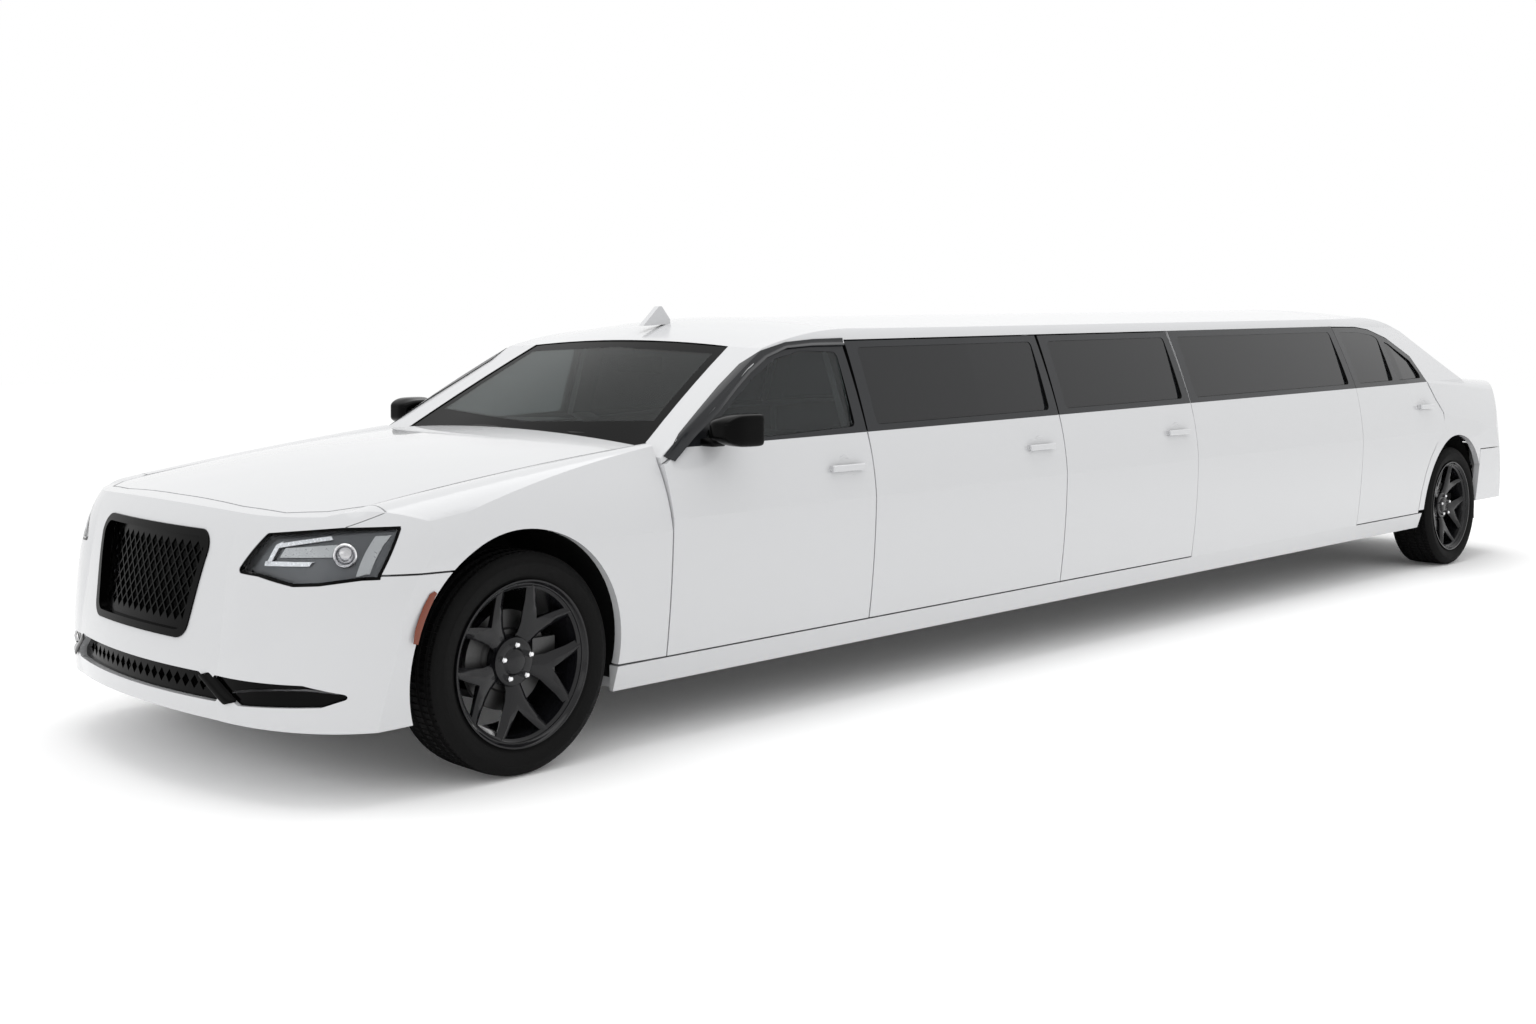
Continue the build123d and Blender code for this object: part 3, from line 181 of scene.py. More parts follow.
LOOK = {
    "body_paint": WHITE,
    "black_plastic": GLOSS_BLACK,
    "dark_plastic": SATIN_BLACK,
    "clear_glass": CLEAR,
    "privacy_glass": PRIVACY,
    "lamp_glass": LENS,
    "red_lens": RED,
    "wheel_paint": WHEEL_BLACK,
    "tyre": RUBBER,
    "chassis": CHASSIS,
    "iron": IRON,
    "leather": LEATHER,
}
for part in frame["record"]["subparts"]:
    mesh = nodes[part["node"]].data
    mesh.materials.clear()
    mesh.materials.append(LOOK[part["material_slot"]])
nodes["windshield"].data.materials[0] = SCREEN


# Helpers: selecting, shaping with operators, and handing a piece to its body
def only(piece):
    if bpy.context.mode != "OBJECT":
        bpy.ops.object.mode_set(mode="OBJECT")
    bpy.ops.object.select_all(action="DESELECT")
    piece.select_set(True)
    bpy.context.view_layer.objects.active = piece


def edit(piece):
    only(piece)
    bpy.ops.object.mode_set(mode="EDIT")
    bpy.ops.mesh.select_mode(type="FACE")
    bpy.ops.mesh.select_all(action="SELECT")


def pick(piece, test):
    """Select in edit mode only the faces whose centre and normal pass a test."""
    bpy.ops.mesh.select_all(action="DESELECT")
    mesh = bmesh.from_edit_mesh(piece.data)
    for face in mesh.faces:
        face.select_set(test(face.calc_center_median(), face.normal))
    bmesh.update_edit_mesh(piece.data)


def applied(piece, kind, **values):
    only(piece)
    modifier = piece.modifiers.new(kind.lower(), kind)
    for name, value in values.items():
        setattr(modifier, name, value)
    bpy.ops.object.modifier_apply(modifier=modifier.name)


def finished(piece, name, look, body, angle=35):
    only(piece)
    bpy.ops.object.transform_apply(location=True, rotation=True, scale=True)
    piece.name = name
    if look:
        piece.data.materials.clear()
        piece.data.materials.append(look)
    bpy.ops.object.shade_smooth_by_angle(angle=math.radians(angle))
    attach(piece, body)
    return piece


def sheet_of(rows):
    """A grid primitive whose vertices are moved to rows of points."""
    bpy.ops.object.select_all(action="DESELECT")
    bpy.ops.mesh.primitive_grid_add(x_subdivisions=len(rows[0]) - 1, y_subdivisions=len(rows) - 1, size=1)
    piece = bpy.context.object
    points = [point for row in rows for point in row]
    starts = [vertex.co.copy() for vertex in piece.data.vertices]
    edit(piece)
    bpy.ops.mesh.select_mode(type="VERT")
    for index, point in enumerate(points):
        bpy.ops.mesh.select_all(action="DESELECT")
        mesh = bmesh.from_edit_mesh(piece.data)
        mesh.verts.ensure_lookup_table()
        mesh.verts[index].select_set(True)
        bpy.ops.transform.translate(value=Vector(point) - starts[index])
    bpy.ops.object.mode_set(mode="OBJECT")
    return piece


SLICE = 0.0001
MERGE = 0.00002


def ring(profile, steps):
    """A closed profile of (x, radius) points spun about the X axis."""
    rows = [[(x, 0, radius), (x, SLICE, radius)] for x, radius in profile]
    rows.append(rows[0])
    piece = sheet_of(rows)
    edit(piece)
    bpy.ops.mesh.select_mode(type="VERT")
    mesh = bmesh.from_edit_mesh(piece.data)
    for vertex in mesh.verts:
        vertex.select_set(vertex.co.y > SLICE / 2)
    bmesh.update_edit_mesh(piece.data)
    bpy.ops.mesh.delete(type="VERT")
    bpy.ops.mesh.select_all(action="SELECT")
    bpy.ops.mesh.spin(steps=steps, angle=math.tau, center=(0, 0, 0), axis=(1, 0, 0))
    bpy.ops.mesh.select_all(action="SELECT")
    bpy.ops.mesh.remove_doubles(threshold=SLICE / 2)
    bpy.ops.mesh.normals_make_consistent(inside=False)
    bpy.ops.object.mode_set(mode="OBJECT")
    return piece


def copied(piece, name, move=(0, 0, 0), turn=0.0, flip=False):
    """A copy with its own mesh: turned about X, moved, then flipped across the car."""
    twin = piece.copy()
    twin.data = piece.data.copy()
    twin.name = name
    bpy.context.collection.objects.link(twin)
    twin.rotation_euler = (turn, 0, 0)
    twin.location = move
    only(twin)
    bpy.ops.object.transform_apply(location=True, rotation=True, scale=True)
    if flip:
        twin.scale = (-1, 1, 1)
        bpy.ops.object.transform_apply(location=True, rotation=True, scale=True)
        edit(twin)
        bpy.ops.mesh.flip_normals()
        bpy.ops.object.mode_set(mode="OBJECT")
    return twin


def joined(pieces):
    only(pieces[0])
    for piece in pieces:
        piece.select_set(True)
    bpy.ops.object.join()
    return bpy.context.object


def block(place, size):
    """A box primitive at its place, ready to be shaped."""
    bpy.ops.object.select_all(action="DESELECT")
    bpy.ops.mesh.primitive_cube_add(size=1, location=place, scale=size)
    bpy.ops.object.transform_apply(location=True, rotation=True, scale=True)
    return bpy.context.object


def met(node, origin, way):
    """The place where a ray first meets a CAD node, or None."""
    hit, place, _, _ = nodes[node].ray_cast(Vector(origin), Vector(way))
    return place if hit else None


def skin(node):
    """A merged copy of a CAD node, to be shaped."""
    source = nodes[node]
    twin = source.copy()
    twin.data = source.data.copy()
    twin.parent = None
    bpy.context.collection.objects.link(twin)
    twin.matrix_world = source.matrix_world
    twin.hide_viewport = twin.hide_render = False
    twin.hide_set(False)
    only(twin)
    bpy.ops.object.transform_apply(location=True, rotation=True, scale=True)
    edit(twin)
    bpy.ops.mesh.remove_doubles(threshold=MERGE)
    bpy.ops.object.mode_set(mode="OBJECT")
    return twin


def cut(piece, place, normal):
    """Cut a piece by a plane and drop the side that the normal points to."""
    edit(piece)
    bpy.ops.mesh.bisect(plane_co=place, plane_no=normal, clear_outer=True)
    bpy.ops.object.mode_set(mode="OBJECT")


def paint(mesh, look, test):
    """Give a look to the faces of a CAD node whose centre and normal pass a test."""
    mesh.materials.append(look)
    index = len(mesh.materials) - 1
    for face in mesh.polygons:
        if test(face.center, face.normal):
            face.material_index = index


# Body panels: the window band is black, the faces towards the cabin are trimmed
BELT_STATION = 2.5
BELT_Z = 1.059
BELT_RAKE = 0.0176
RAIL_Z = 1.419
RAIL_RAKE = 0.0149
PANEL_START = 4.187
PANEL_END = 5.997
BAND_SLACK = 0.002
CABIN = (-3.10, 3.20)
FACES_OUT = 0.6
LEANS_OUT = 0.3
DOORS = ("front", "second", "third", "rear")


def height_over(point, z, rake):
    return point.z - z - rake * (point.y - FRONT_AXLE - BELT_STATION)


def over_belt(point):
    return height_over(point, BELT_Z, BELT_RAKE) > 0


def painted_door(door, side, sign):
    mesh = nodes[door + "_door_" + side].data
    paint(mesh, TRIM, lambda c, n: not over_belt(c) and n.x * sign < -FACES_OUT)
    paint(mesh, SEAL, lambda c, n: over_belt(c) and n.x * sign <= FACES_OUT)
    paint(mesh, FRAME_BLACK, lambda c, n: over_belt(c) and n.x * sign > FACES_OUT)


def painted_sides():
    def band(c):
        inside = PANEL_START < c.y - FRONT_AXLE < PANEL_END
        return inside and over_belt(c) and height_over(c, RAIL_Z, RAIL_RAKE) < BAND_SLACK

    mesh = nodes["body_sides"].data
    paint(mesh, TRIM, lambda c, n: n.x * c.x < -LEANS_OUT and CABIN[0] < c.y < CABIN[1])
    paint(mesh, SEAL, lambda c, n: band(c) and n.x * c.x <= LEANS_OUT)
    paint(mesh, FRAME_BLACK, lambda c, n: band(c) and n.x * c.x > LEANS_OUT)


def painted_panels():
    painted_sides()
    paint(nodes["roof"].data, TRIM, lambda c, n: n.z < -LEANS_OUT)
    for door in DOORS:
        for side, sign in SIDES:
            painted_door(door, side, sign)


# Wheels and tyres, modelled about the left front wheel's centre
HALF_TRACK = 0.797
WHEEL_Z = 0.364
RIM = [
    (0.113, 0.2720), (0.113, 0.2665), (0.108, 0.2625), (0.098, 0.2585), (0.088, 0.2440),
    (0.030, 0.2300), (-0.080, 0.2280), (-0.104, 0.2520), (-0.113, 0.2680), (-0.113, 0.2720),
    (-0.1015, 0.2720), (-0.0985, 0.2555), (-0.076, 0.2340), (0.032, 0.2360), (0.0985, 0.2550),
    (0.1015, 0.2720),
]
HUB = [
    (0.010, 0.030), (0.010, 0.084), (0.040, 0.084), (0.058, 0.078), (0.062, 0.070), (0.060, 0.046),
    (0.064, 0.042), (0.068, 0.038), (0.070, 0.034), (0.070, 0.001), (0.052, 0.001),
]
DISC = [(-0.006, 0.060), (-0.006, 0.164), (0.012, 0.164), (0.012, 0.106), (0.020, 0.100), (0.020, 0.060)]
SPOKE = [
    [(0.040, 0.000, 0.050), (0.040, 0.016, 0.050), (0.032, 0.031, 0.050)],
    [(0.058, 0.000, 0.092), (0.058, 0.018, 0.092), (0.050, 0.034, 0.090)],
    [(0.064, 0.000, 0.128), (0.066, 0.024, 0.126), (0.056, 0.043, 0.122)],
    [(0.068, 0.000, 0.158), (0.074, 0.034, 0.158), (0.062, 0.060, 0.152)],
    [(0.076, 0.034, 0.196), (0.084, 0.058, 0.196), (0.072, 0.082, 0.190)],
    [(0.086, 0.072, 0.236), (0.094, 0.090, 0.232), (0.082, 0.108, 0.224)],
    [(0.094, 0.090, 0.246), (0.098, 0.106, 0.240), (0.088, 0.122, 0.232)],
]
SPOKES = 5
SPOKE_ANGLE = math.radians(-87)
NUT_X = 0.068
NUT_END = 0.9
NUT_RADIUS = 0.058
RIM_STEPS = 96
HUB_STEPS = 60
DISC_STEPS = 72
TYRE_STEPS = 96
TREAD = [
    (0.0985, 0.2565), (0.1010, 0.2735), (0.1120, 0.2860), (0.1130, 0.2870), (0.1190, 0.3010),
    (0.1222, 0.3180), (0.1215, 0.3270), (0.1200, 0.3285), (0.1150, 0.3420), (0.1060, 0.3540),
    (0.0960, 0.3605), (0.0780, 0.3630), (0.0770, 0.3560), (0.0690, 0.3560), (0.0680, 0.3636),
    (0.0330, 0.3640), (0.0320, 0.3565), (0.0230, 0.3565), (0.0220, 0.3640),
]
TREAD_RADIUS = 0.3585
TREAD_HALF = 0.106
FACES_ROAD = 0.8


def spokes():
    """A forked spoke from half of it, then five of them round the hub."""
    half = sheet_of(SPOKE)
    applied(half, "MIRROR", use_axis=(False, True, False), merge_threshold=0.0004)
    applied(half, "SOLIDIFY", thickness=0.022, offset=-1)
    applied(half, "BEVEL", width=0.0025, segments=2, limit_method="ANGLE", angle_limit=math.radians(50))
    edit(half)
    bpy.ops.mesh.normals_make_consistent(inside=False)
    bpy.ops.object.mode_set(mode="OBJECT")
    start = SPOKE_ANGLE - math.pi / 2
    made = [copied(half, "spoke", turn=start + k * math.tau / SPOKES) for k in range(SPOKES)]
    bpy.data.objects.remove(half)
    return made


def nuts():
    made = []
    for k in range(SPOKES):
        angle = SPOKE_ANGLE + math.pi / SPOKES + k * math.tau / SPOKES
        place = (NUT_X, NUT_RADIUS * math.cos(angle), NUT_RADIUS * math.sin(angle))
        bpy.ops.object.select_all(action="DESELECT")
        bpy.ops.mesh.primitive_cylinder_add(
            vertices=6, radius=0.0105, depth=0.024, location=place, rotation=(0, math.pi / 2, 0))
        nut = bpy.context.object
        edit(nut)
        pick(nut, lambda c, n: n.z > NUT_END)
        bpy.ops.mesh.inset(thickness=0.003, depth=0.004)
        bpy.ops.object.mode_set(mode="OBJECT")
        made.append(nut)
    group = joined(made)
    bpy.ops.object.transform_apply(location=True, rotation=True, scale=True)
    return group


def tyre():
    """The tyre with its grooves, its road face cut into small blocks."""
    left = [(-x, radius) for x, radius in reversed(TREAD)]
    piece = ring(TREAD + left, TYRE_STEPS)
    edit(piece)

    def rolls(c, n):
        outer = math.hypot(c.y, c.z) > TREAD_RADIUS and abs(c.x) < TREAD_HALF
        return outer and math.hypot(n.y, n.z) > FACES_ROAD

    pick(piece, rolls)
    bpy.ops.mesh.inset(thickness=0.0014, depth=-0.004, use_individual=True)
    bpy.ops.object.mode_set(mode="OBJECT")
    return piece


def dressed_wheels():
    rim = joined([ring(RIM, RIM_STEPS), ring(HUB, HUB_STEPS)] + spokes())
    disc = ring(DISC, DISC_STEPS)
    studs = nuts()
    rubber = tyre()
    for end, station in (("front", 0), ("rear", REAR_AXLE_STATION)):
        for side, sign in SIDES:
            body = "wheel_" + end + "_" + side
            place = (HALF_TRACK, FRONT_AXLE + station, WHEEL_Z)
            made = copied(rim, "alloy_" + body, place, flip=sign < 0)
            finished(made, "alloy_" + body, WHEEL_BLACK, body, 40)
            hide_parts(body)
            made = copied(disc, "disc_" + body, place, flip=sign < 0)
            finished(made, "disc_" + body, IRON, body, angle=40)
            made = copied(studs, "nuts_" + body, place, flip=sign < 0)
            finished(made, "nuts_" + body, CHROME, body, angle=30)
            made = copied(rubber, "tread_" + end + "_" + side, place, flip=sign < 0)
            finished(made, "tread_" + end + "_" + side, RUBBER, body, 40)
            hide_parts("tyre_" + end + "_" + side)
    for piece in (rim, disc, studs, rubber):
        bpy.data.objects.remove(piece)


# Headlamps: lens, dark bowl, chrome-ringed projector and the lit strips, cut from the lamp's own face
LAMP_STRIP = [
    [(0.652, 0.792), (0.783, 0.818), (0.787, 0.807), (0.656, 0.780)],
    [(0.640, 0.788), (0.656, 0.792), (0.640, 0.736), (0.626, 0.736)],
    [(0.624, 0.738), (0.758, 0.742), (0.754, 0.729), (0.624, 0.724)],
]
LAMP_BAR = [(0.670, 0.778), (0.796, 0.792), (0.802, 0.756), (0.661, 0.750)]
LAMP_SIDE = [(0.862, 0.818), (0.884, 0.816), (0.882, 0.708), (0.860, 0.704)]
LAMP_EDGE = 0.010
LAMP_WALL = 0.004
PLATE_DEPTH = 0.034
LENS_DEPTH = 0.0005
STRIP_DEPTH = 0.018
BAR_DEPTH = 0.022
SIDE_DEPTH = 0.016
FACES_LAMP = 0.6
TILT_LIMIT = 0.7
TURNED_IN = -0.05
PROJECTOR = (0.826, -4.362, 0.763)
PROJECTOR_TURN = math.radians(42)
PROJECTOR_STEPS = 48
PROJECTOR_RING = [
    (0.004, 0.030), (0.012, 0.037), (0.016, 0.034), (0.012, 0.029), (-0.020, 0.027), (-0.020, 0.030),
]
PROJECTOR_LENS = [
    (-0.006, 0.0275), (0.004, 0.0245), (0.010, 0.018), (0.013, 0.010), (0.0135, 0.0005), (-0.008, 0.0005),
]


def lamp_face(shift):
    """The outer face of the left lamp alone, moved back by a distance."""
    face = skin("headlamps")
    edit(face)
    pick(face, lambda c, n: not (c.x > 0 and n.x - n.y > FACES_LAMP and abs(n.z) < TILT_LIMIT))
    bpy.ops.mesh.delete(type="FACE")
    bpy.ops.mesh.select_all(action="SELECT")
    bpy.ops.transform.translate(value=(0, shift, 0))
    bpy.ops.object.mode_set(mode="OBJECT")
    return face


def lamp_piece(outline, shift):
    """What a convex outline, seen from the front, cuts out of the lamp's face."""
    piece = lamp_face(shift)
    corners = len(outline)
    middle = Vector((sum(x for x, _ in outline) / corners, 0, sum(z for _, z in outline) / corners))
    for (ax, az), (bx, bz) in zip(outline, outline[1:] + outline[:1]):
        normal = Vector((bz - az, 0, ax - bx))
        if normal.dot(middle - Vector((ax, 0, az))) > 0:
            normal = -normal
        cut(piece, (ax, 0, az), normal)
    applied(piece, "SOLIDIFY", thickness=LAMP_WALL, offset=-1)
    return piece


def both_sides(piece, name, look, body, angle=35):
    """Hand over a left piece and its mirrored twin on the right."""
    twin = copied(piece, name + "_right", flip=True)
    finished(twin, name + "_right", look, body.replace("left", "right"), angle)
    finished(piece, name + "_left", look, body, angle)


def projector():
    shapes = (("projector_ring", PROJECTOR_RING, CHROME), ("projector_lens", PROJECTOR_LENS, SILVER))
    for name, profile, look in shapes:
        piece = ring(profile, PROJECTOR_STEPS)
        piece.rotation_euler = (0, 0, -PROJECTOR_TURN)
        piece.location = PROJECTOR
        only(piece)
        bpy.ops.object.transform_apply(location=True, rotation=True, scale=True)
        both_sides(piece, name, look, "car_body", angle=50)


def dressed_lamps():
    bowl = skin("headlamps")
    edit(bowl)
    pick(bowl, lambda c, n: abs(n.x) - n.y > FACES_LAMP and n.x * c.x > TURNED_IN and abs(n.z) < TILT_LIMIT)
    bpy.ops.mesh.delete(type="FACE")
    bpy.ops.object.mode_set(mode="OBJECT")
    finished(bowl, "lamp_bowl", GLOSS_BLACK, "car_body", 30)
    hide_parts("headlamps")
    plate = lamp_face(PLATE_DEPTH)
    both_sides(plate, "lamp_plate", LAMP_GREY, "car_body")
    lens = lamp_face(LENS_DEPTH)
    edit(lens)
    bpy.ops.mesh.inset(thickness=LAMP_EDGE, use_boundary=True, use_even_offset=False)
    bpy.ops.mesh.select_all(action="INVERT")
    bpy.ops.object.mode_set(mode="OBJECT")
    edge = [face.index for face in lens.data.polygons if face.select]
    lens.data.materials.clear()
    lens.data.materials.append(LENS)
    lens.data.materials.append(GLOSS_BLACK)
    for index in edge:
        lens.data.polygons[index].material_index = 1
    both_sides(lens, "lamp_lens", None, "car_body")
    for number, outline in enumerate(LAMP_STRIP):
        both_sides(lamp_piece(outline, STRIP_DEPTH), "lamp_strip_%d" % number, LIT_STRIP, "car_body")
    both_sides(lamp_piece(LAMP_BAR, BAR_DEPTH), "lamp_bar", REFLECTOR, "car_body")
    both_sides(lamp_piece(LAMP_SIDE, SIDE_DEPTH), "lamp_side", REFLECTOR, "car_body")
    projector()


# Front: dark backings behind the meshes, and the amber markers
NOSE_Y = -4.640
NOSE_BOW = 0.16 / 0.30
SHEET_WALL = 0.003
BACKING_STEPS = 6
BACKING_GAP = 0.075
BACKING_LEAN = 0.22
LEAN_START_Z = 0.45
MARKER_CENTRE = (-0.025, 0.375)
MARKER_X = 0.9475
MARKER = [
    (165, 0.433, 0.450), (160, 0.433, 0.456), (155, 0.433, 0.457), (150, 0.433, 0.457), (145, 0.434, 0.456),
    (143, 0.434, 0.446),
]


def bowed(x):
    return NOSE_Y + NOSE_BOW * x * x


def backing(name, low, high):
    """A dark sheet behind a mesh, bowed like the nose, between two edges of (height, half width)."""
    rows = []
    for share in (0, 0.5, 1):
        z = low[0] + (high[0] - low[0]) * share
        half = low[1] + (high[1] - low[1]) * share
        back = BACKING_GAP + BACKING_LEAN * max(0, z - LEAN_START_Z)
        across = [half * k / BACKING_STEPS for k in range(-BACKING_STEPS, BACKING_STEPS + 1)]
        rows.append([(x, bowed(x) + back, z) for x in across])
    piece = sheet_of(rows)
    applied(piece, "SOLIDIFY", thickness=SHEET_WALL, offset=0)
    finished(piece, name, SEAL, "car_body")


def marker():
    """The amber lens along the front edge of the wheel arch, from (angle, inner, outer radius)."""
    rows = []
    for angle, inner, outer in MARKER:
        turn = math.radians(angle)
        row = []
        for radius in (inner, (inner + outer) / 2, outer):
            y = FRONT_AXLE + MARKER_CENTRE[0] + radius * math.cos(turn)
            row.append((MARKER_X, y, MARKER_CENTRE[1] + radius * math.sin(turn)))
        rows.append(row)
    piece = sheet_of(rows)
    applied(piece, "SOLIDIFY", thickness=SHEET_WALL, offset=0)
    applied(piece, "BEVEL", width=0.0008, segments=2, limit_method="ANGLE")
    both_sides(piece, "side_marker", AMBER, "car_body")


def front_details():
    backing("grille_backing", (0.48, 0.33), (0.81, 0.385))
    backing("intake_backing", (0.30, 0.53), (0.39, 0.41))
    marker()


# Fog pockets: a bright blade in each, and the dark strut beside it
BEFORE_CAR = -6
BEHIND_CAR = 6
BESIDE_CAR = 2
NOSE_REACH = 0.12
PLATE_RECESS = 0.014
FOG_BLADE = [(0.560, 0.340), (0.620, 0.352), (0.700, 0.360), (0.780, 0.362), (0.840, 0.352)]
FOG_SECTION = ((0.010, -0.003), (0.002, 0), (0.010, 0.003))
STRUT_STEPS = 6
STRUT_TOP = (0.432, 0.384)
STRUT_RUN = (0.122, -0.078)
STRUT_SECTION = ((-0.026, 0.0), (-0.014, 0.004), (0.0, 0.006), (0.014, 0.004), (0.026, 0.0))
STRUT_BACK = 0.42
STRUT_RISE = 0.30


def front_y(x, z):
    """How far forward the nose stands at a place: the bumper's skin, or the plate set into it."""
    for node, recess in (("front_bumper", 0.0), ("grilles", PLATE_RECESS)):
        place = met(node, (x, BEFORE_CAR, z), (0, 1, 0))
        if place is not None and place.y < bowed(x) + NOSE_REACH:
            return place.y - recess
    return bowed(x)


def fog_blades():
    rows = []
    for x, z in FOG_BLADE:
        y = front_y(x, z)
        rows.append([(x, y + back, z + rise) for back, rise in FOG_SECTION])
    piece = sheet_of(rows)
    applied(piece, "SOLIDIFY", thickness=0.002, offset=0)
    both_sides(piece, "fog_blade", SILVER, "car_body")


def intake_struts():
    """The dark slanted struts that part the lower intake from the fog pockets."""
    rows = []
    for k in range(STRUT_STEPS + 1):
        x = STRUT_TOP[0] + STRUT_RUN[0] * k / STRUT_STEPS
        z = STRUT_TOP[1] + STRUT_RUN[1] * k / STRUT_STEPS
        y = front_y(x, z)
        section = []
        for off, lift in STRUT_SECTION:
            section.append((x + off, y + STRUT_BACK * off - lift, z + STRUT_RISE * off))
        rows.append(section)
    piece = sheet_of(rows)
    applied(piece, "SOLIDIFY", thickness=SHEET_WALL, offset=0)
    applied(piece, "SUBSURF", levels=1, render_levels=1)
    both_sides(piece, "intake_strut", GLOSS_BLACK, "car_body")


# Windshield: seal, wipers and inner mirror
SCREEN_LEAN = 0.5
SEAL_LIMIT = 0.5
WIPERS = (("driver", 0.10, 0.66), ("passenger", -0.52, 0.04))
WIPER_STEPS = 8
WIPER_STATION = 0.683
WIPER_SWEEP = 0.10
WIPER_Z = 1.040
WIPER_ARCH = 0.014
WIPER_SECTION = ((0, 0), (0.012, 0.010), (0.026, 0.010))
COWL_CROWN = 0.045
FACES_BACK = 0.95
INNER_PLACE = (0.0, -2.40, 1.30)
INNER_SIZE = (0.25, 0.035, 0.075)
STEM_PLACE = (0.0, -2.425, 1.365)
STEM_TURN = (0.5, 0, 0)


def screen_seal():
    """The dark seal on the windshield's edge faces, which turn away from the glass."""
    paint(nodes["windshield"].data, SEAL, lambda c, n: abs(SCREEN_LEAN * n.y + n.z) < SEAL_LIMIT)


def wipers():
    for name, start, end in WIPERS:
        rows = []
        for k in range(WIPER_STEPS + 1):
            x = start + (end - start) * k / WIPER_STEPS
            y = FRONT_AXLE + WIPER_STATION + WIPER_SWEEP * x * x
            z = WIPER_Z - COWL_CROWN * x * x + WIPER_ARCH * math.sin(math.pi * k / WIPER_STEPS)
            rows.append([(x, y + back, z + rise) for back, rise in WIPER_SECTION])
        piece = sheet_of(rows)
        applied(piece, "SOLIDIFY", thickness=0.006, offset=0)
        finished(piece, "wiper_" + name, SATIN_BLACK, "car_body")


def inset_back(piece, thickness, depth):
    """Sink the faces that look to the rear, inside a rim."""
    pick(piece, lambda c, n: n.y > FACES_BACK)
    bpy.ops.mesh.inset(thickness=thickness, depth=-depth)
    bpy.ops.object.mode_set(mode="OBJECT")


def inner_mirror():
    head = block(INNER_PLACE, INNER_SIZE)
    applied(head, "BEVEL", width=0.016, segments=4)
    edit(head)
    inset_back(head, 0.006, 0.003)
    finished(head, "inner_mirror", SATIN_BLACK, "car_body")
    bpy.ops.object.select_all(action="DESELECT")
    bpy.ops.mesh.primitive_cylinder_add(
        vertices=16, radius=0.011, depth=0.10, location=STEM_PLACE, rotation=STEM_TURN)
    stem = bpy.context.object
    applied(stem, "BEVEL", width=0.003, segments=2, limit_method="ANGLE")
    finished(stem, "inner_mirror_stem", SATIN_BLACK, "car_body")


# Doors: mirror shells and glass, pillar covers and handle cups
MIRROR_PLACE = (0.996, -2.860, 1.089)
MIRROR_SIZE = (0.140, 0.170, 0.118)
MIRROR_TAPER = ((-2.935, (0.80, 1.0, 0.62)), (-2.890, (0.97, 1.0, 0.94)))
TAPER_CENTRE = (0.975, -2.860, 1.084)
ROOT_X = 0.945
ROOT_TAPER = (1.0, 0.92, 0.86)
ROOT_CENTRE = (0.93, -2.80, 1.085)
STALK_PLACE = (0.925, -2.897, 1.044)
STALK_SIZE = (0.070, 0.070, 0.030)
GLASS_Y = -2.7752
GLASS_ACROSS = (0.948, 0.975, 1.020, 1.044)
GLASS_UP = (1.048, 1.070, 1.110, 1.130)
COVER_LIFT = 0.0022
COVER_REACH = 0.03
COVER_SHARES = (-0.2, 0, 0.25, 0.5, 0.75, 1, 1.15)
COVER_OUT = [
    (0.881, -3.095, 0.999), (0.869, -3.045, 1.037), (0.858, -2.995, 1.074), (0.827, -2.865, 1.154),
    (0.790, -2.725, 1.237), (0.765, -2.594, 1.312), (0.777, -2.497, 1.361), (0.770, -2.350, 1.394),
    (0.773, -2.198, 1.405), (0.779, -2.026, 1.409),
]
COVER_IN = [
    (0.898, -3.068, 0.985), (0.889, -3.010, 1.026), (0.880, -2.953, 1.066), (0.852, -2.812, 1.145),
    (0.824, -2.686, 1.229), (0.805, -2.588, 1.289), (0.790, -2.478, 1.343), (0.783, -2.357, 1.377),
    (0.784, -2.211, 1.386), (0.792, -2.030, 1.388),
]
HANDLES = [("front", 1.555, 0.916), ("second", 2.852, 0.936), ("third", 4.004, 0.954), ("rear", 6.866, 0.993)]
CUP = [(0.0, 0.047), (0.0012, 0.045), (0.0012, 0.042), (0.0002, 0.036), (-0.001, 0.036), (-0.001, 0.047)]
CUP_STEPS = 40
CUP_OVER = 0.034


def mirror_housing():
    """A rounded shell that tapers forwards and to its root, with the stalk."""
    shell = block(MIRROR_PLACE, MIRROR_SIZE)
    edit(shell)
    bpy.ops.mesh.subdivide(number_cuts=3)
    for limit, taper in MIRROR_TAPER:
        pick(shell, lambda c, n: c.y < limit)
        bpy.ops.transform.resize(value=taper, center_override=TAPER_CENTRE)
    pick(shell, lambda c, n: c.x < ROOT_X)
    bpy.ops.transform.resize(value=ROOT_TAPER, center_override=ROOT_CENTRE)
    inset_back(shell, 0.007, 0.004)
    applied(shell, "SUBSURF", levels=2, render_levels=2)
    stalk = block(STALK_PLACE, STALK_SIZE)
    applied(stalk, "BEVEL", width=0.010, segments=3)
    return joined([shell, stalk])


def door_mirrors():
    housing = mirror_housing()
    glass = sheet_of([[(x, GLASS_Y, z) for x in GLASS_ACROSS] for z in GLASS_UP])
    applied(glass, "SOLIDIFY", thickness=0.0016, offset=0)
    for side, sign in SIDES:
        node = "door_mirror_" + side
        body = body_of(nodes[node])[0]
        made = copied(housing, "mirror_shell_" + side, flip=sign < 0)
        finished(made, "mirror_shell_" + side, GLOSS_BLACK, body, 50)
        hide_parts(node)
        made = copied(glass, "mirror_glass_" + side, flip=sign < 0)
        finished(made, "mirror_glass_" + side, CHROME, body)
    bpy.data.objects.remove(housing)
    bpy.data.objects.remove(glass)


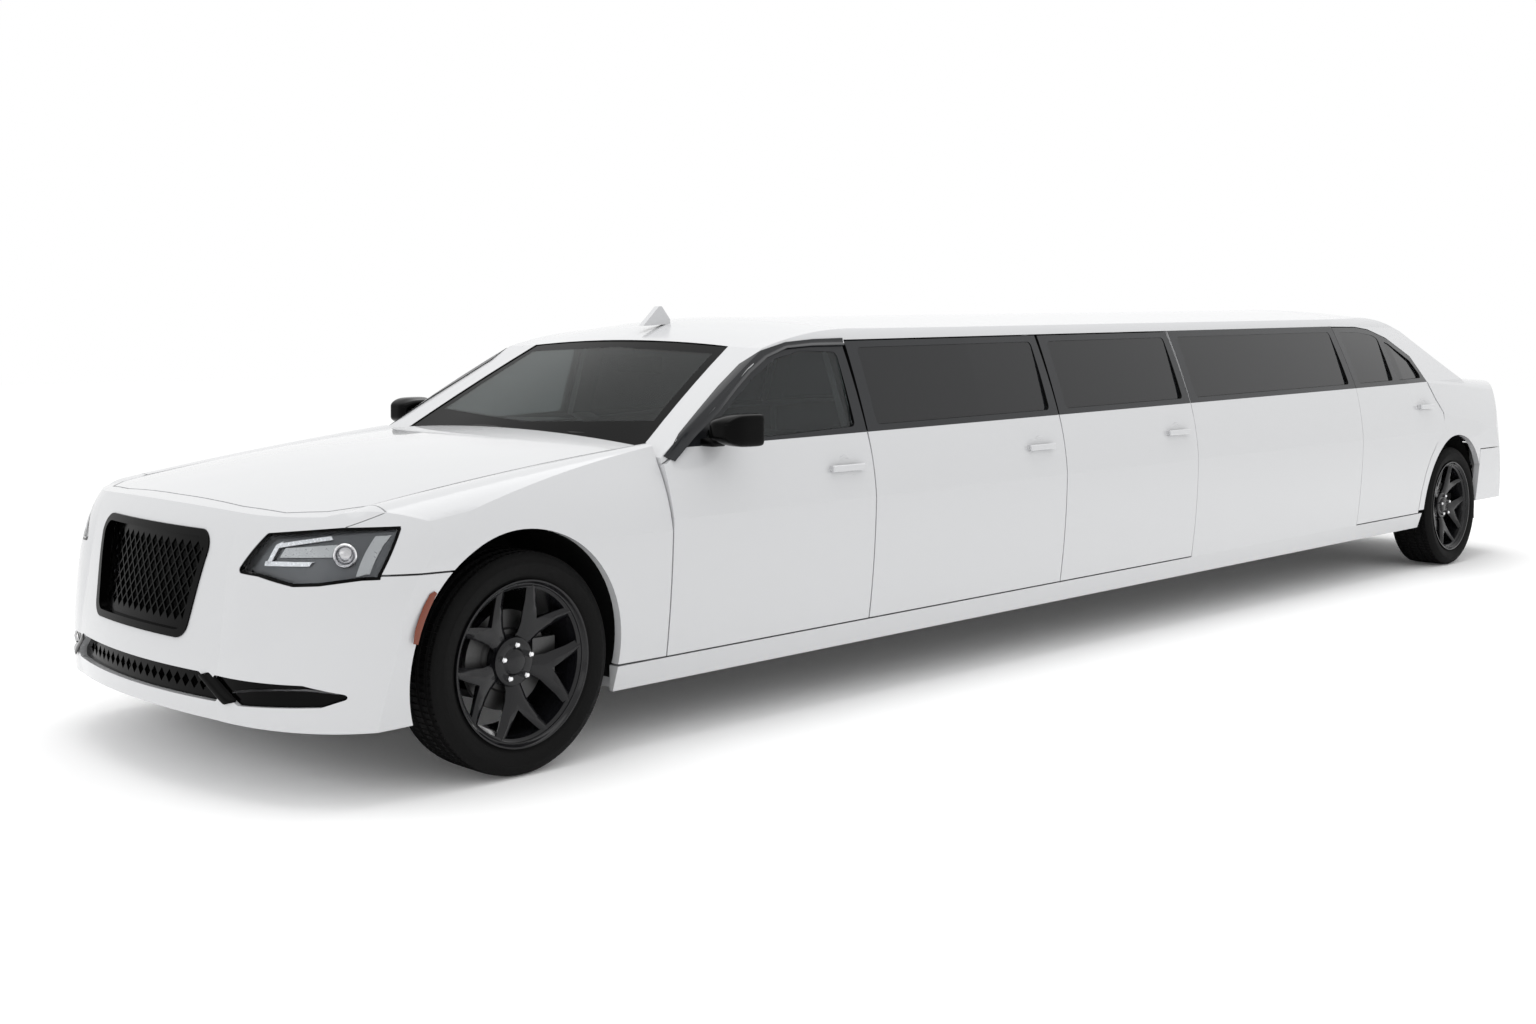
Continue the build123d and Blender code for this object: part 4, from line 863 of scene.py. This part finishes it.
def pillar_covers():
    """The dark cover that follows the front door's frame up the windshield pillar."""
    rows = []
    for low, high in zip(COVER_IN, COVER_OUT):
        row = []
        for share in COVER_SHARES:
            start = Vector(low).lerp(Vector(high), share)
            place = met("body_sides", (BESIDE_CAR, start.y, start.z), (-1, 0, 0))
            if place is None or abs(place.x - start.x) >= COVER_REACH:
                place = start
            row.append((place.x + COVER_LIFT, place.y, place.z + COVER_LIFT / 2))
        rows.append(row)
    piece = sheet_of(rows)
    applied(piece, "SOLIDIFY", thickness=0.001, offset=0)
    both_sides(piece, "pillar_cover", FRAME_BLACK, "car_body", angle=60)


def handle_cups():
    """The round dished surrounds behind the door handles."""
    dish = ring(CUP, CUP_STEPS)
    for door, station, height in HANDLES:
        for side, sign in SIDES:
            name = "handle_cup_" + door + "_" + side
            panel = door + "_door_" + side
            y = FRONT_AXLE + station
            place = met(panel, (BESIDE_CAR * sign, y, height + CUP_OVER), (-sign, 0, 0))
            made = copied(dish, name, (abs(place.x), y, height), flip=sign < 0)
            finished(made, name, WHITE, panel)
    bpy.data.objects.remove(dish)


# Rear: the lid's bar, the bumper's step and its reflectors
STRIP_STEPS = 12
STRIP_EDGE = 0.0004
STRIP_CROWN = 0.0016
STRIPS = [
    ("trunk_lid", "lid_bar", -0.42, 0.42, 0.93, 0.012, CHROME),
    ("rear_bumper", "bumper_step", -0.55, 0.55, 0.40, 0.030, SATIN_BLACK),
    ("rear_bumper", "reflector_left", 0.62, 0.74, 0.47, 0.012, RED),
    ("rear_bumper", "reflector_right", -0.74, -0.62, 0.47, 0.012, RED),
]


def strip_on(node, name, start, end, z, half, look):
    """A thin bar across a rear panel, following its bow."""
    rows = []
    for k in range(STRIP_STEPS + 1):
        x = start + (end - start) * k / STRIP_STEPS
        y = met(node, (x, BEHIND_CAR, z), (0, -1, 0)).y
        rows.append([(x, y + STRIP_EDGE, z - half), (x, y + STRIP_CROWN, z), (x, y + STRIP_EDGE, z + half)])
    piece = sheet_of(rows)
    applied(piece, "SOLIDIFY", thickness=0.0012, offset=0)
    finished(piece, name, look, body_of(nodes[node])[0])


def small_fittings():
    fog_blades()
    intake_struts()
    screen_seal()
    wipers()
    inner_mirror()
    door_mirrors()
    pillar_covers()
    handle_cups()
    for strip in STRIPS:
        strip_on(*strip)


# Studio floor and lights
def flat_floor():
    bpy.ops.object.select_all(action="DESELECT")
    bpy.ops.mesh.primitive_plane_add(size=80)
    floor = bpy.context.object
    floor.name = "studio_floor"
    floor.data.materials.append(material("studio_white", (0.985, 0.985, 0.985), 0.9, shine=0.0, glow=0.03))


def area_light(name, place, aim, size, power):
    data = bpy.data.lights.new(name, "AREA")
    data.shape = "RECTANGLE"
    data.size, data.size_y = size
    data.energy = power
    lamp = bpy.data.objects.new(name, data)
    bpy.context.collection.objects.link(lamp)
    lamp.location = place
    lamp.rotation_euler = (Vector(aim) - Vector(place)).to_track_quat("-Z", "Y").to_euler()


def studio():
    flat_floor()
    area_light("overhead", (0, 0, 6.5), (0, 0, 0), (5, 13), 280)
    area_light("front", (1, -11, 3.2), (0, -3, 0.7), (7, 3), 45)
    world = bpy.data.worlds.new("studio_world")
    world.use_nodes = True
    world.node_tree.nodes["Background"].inputs["Color"].default_value = (1, 1, 1, 1)
    world.node_tree.nodes["Background"].inputs["Strength"].default_value = 1.0
    bpy.context.scene.world = world
    bpy.context.scene.view_settings.view_transform = "Standard"


# The camera stands where the photograph was taken
def photo_camera():
    data = bpy.data.cameras.new("photo_camera")
    data.sensor_width = 36
    data.lens = 38.84
    data.shift_x = 0.0909
    data.shift_y = -0.1043
    camera = bpy.data.objects.new("photo_camera", data)
    bpy.context.collection.objects.link(camera)
    camera.location = (5.0888, -7.0730, 1.4303)
    camera.rotation_euler = (math.pi / 2 - 0.011, 0, 0.835)
    bpy.context.scene.camera = camera


painted_panels()
dressed_wheels()
dressed_lamps()
front_details()
small_fittings()
studio()
photo_camera()
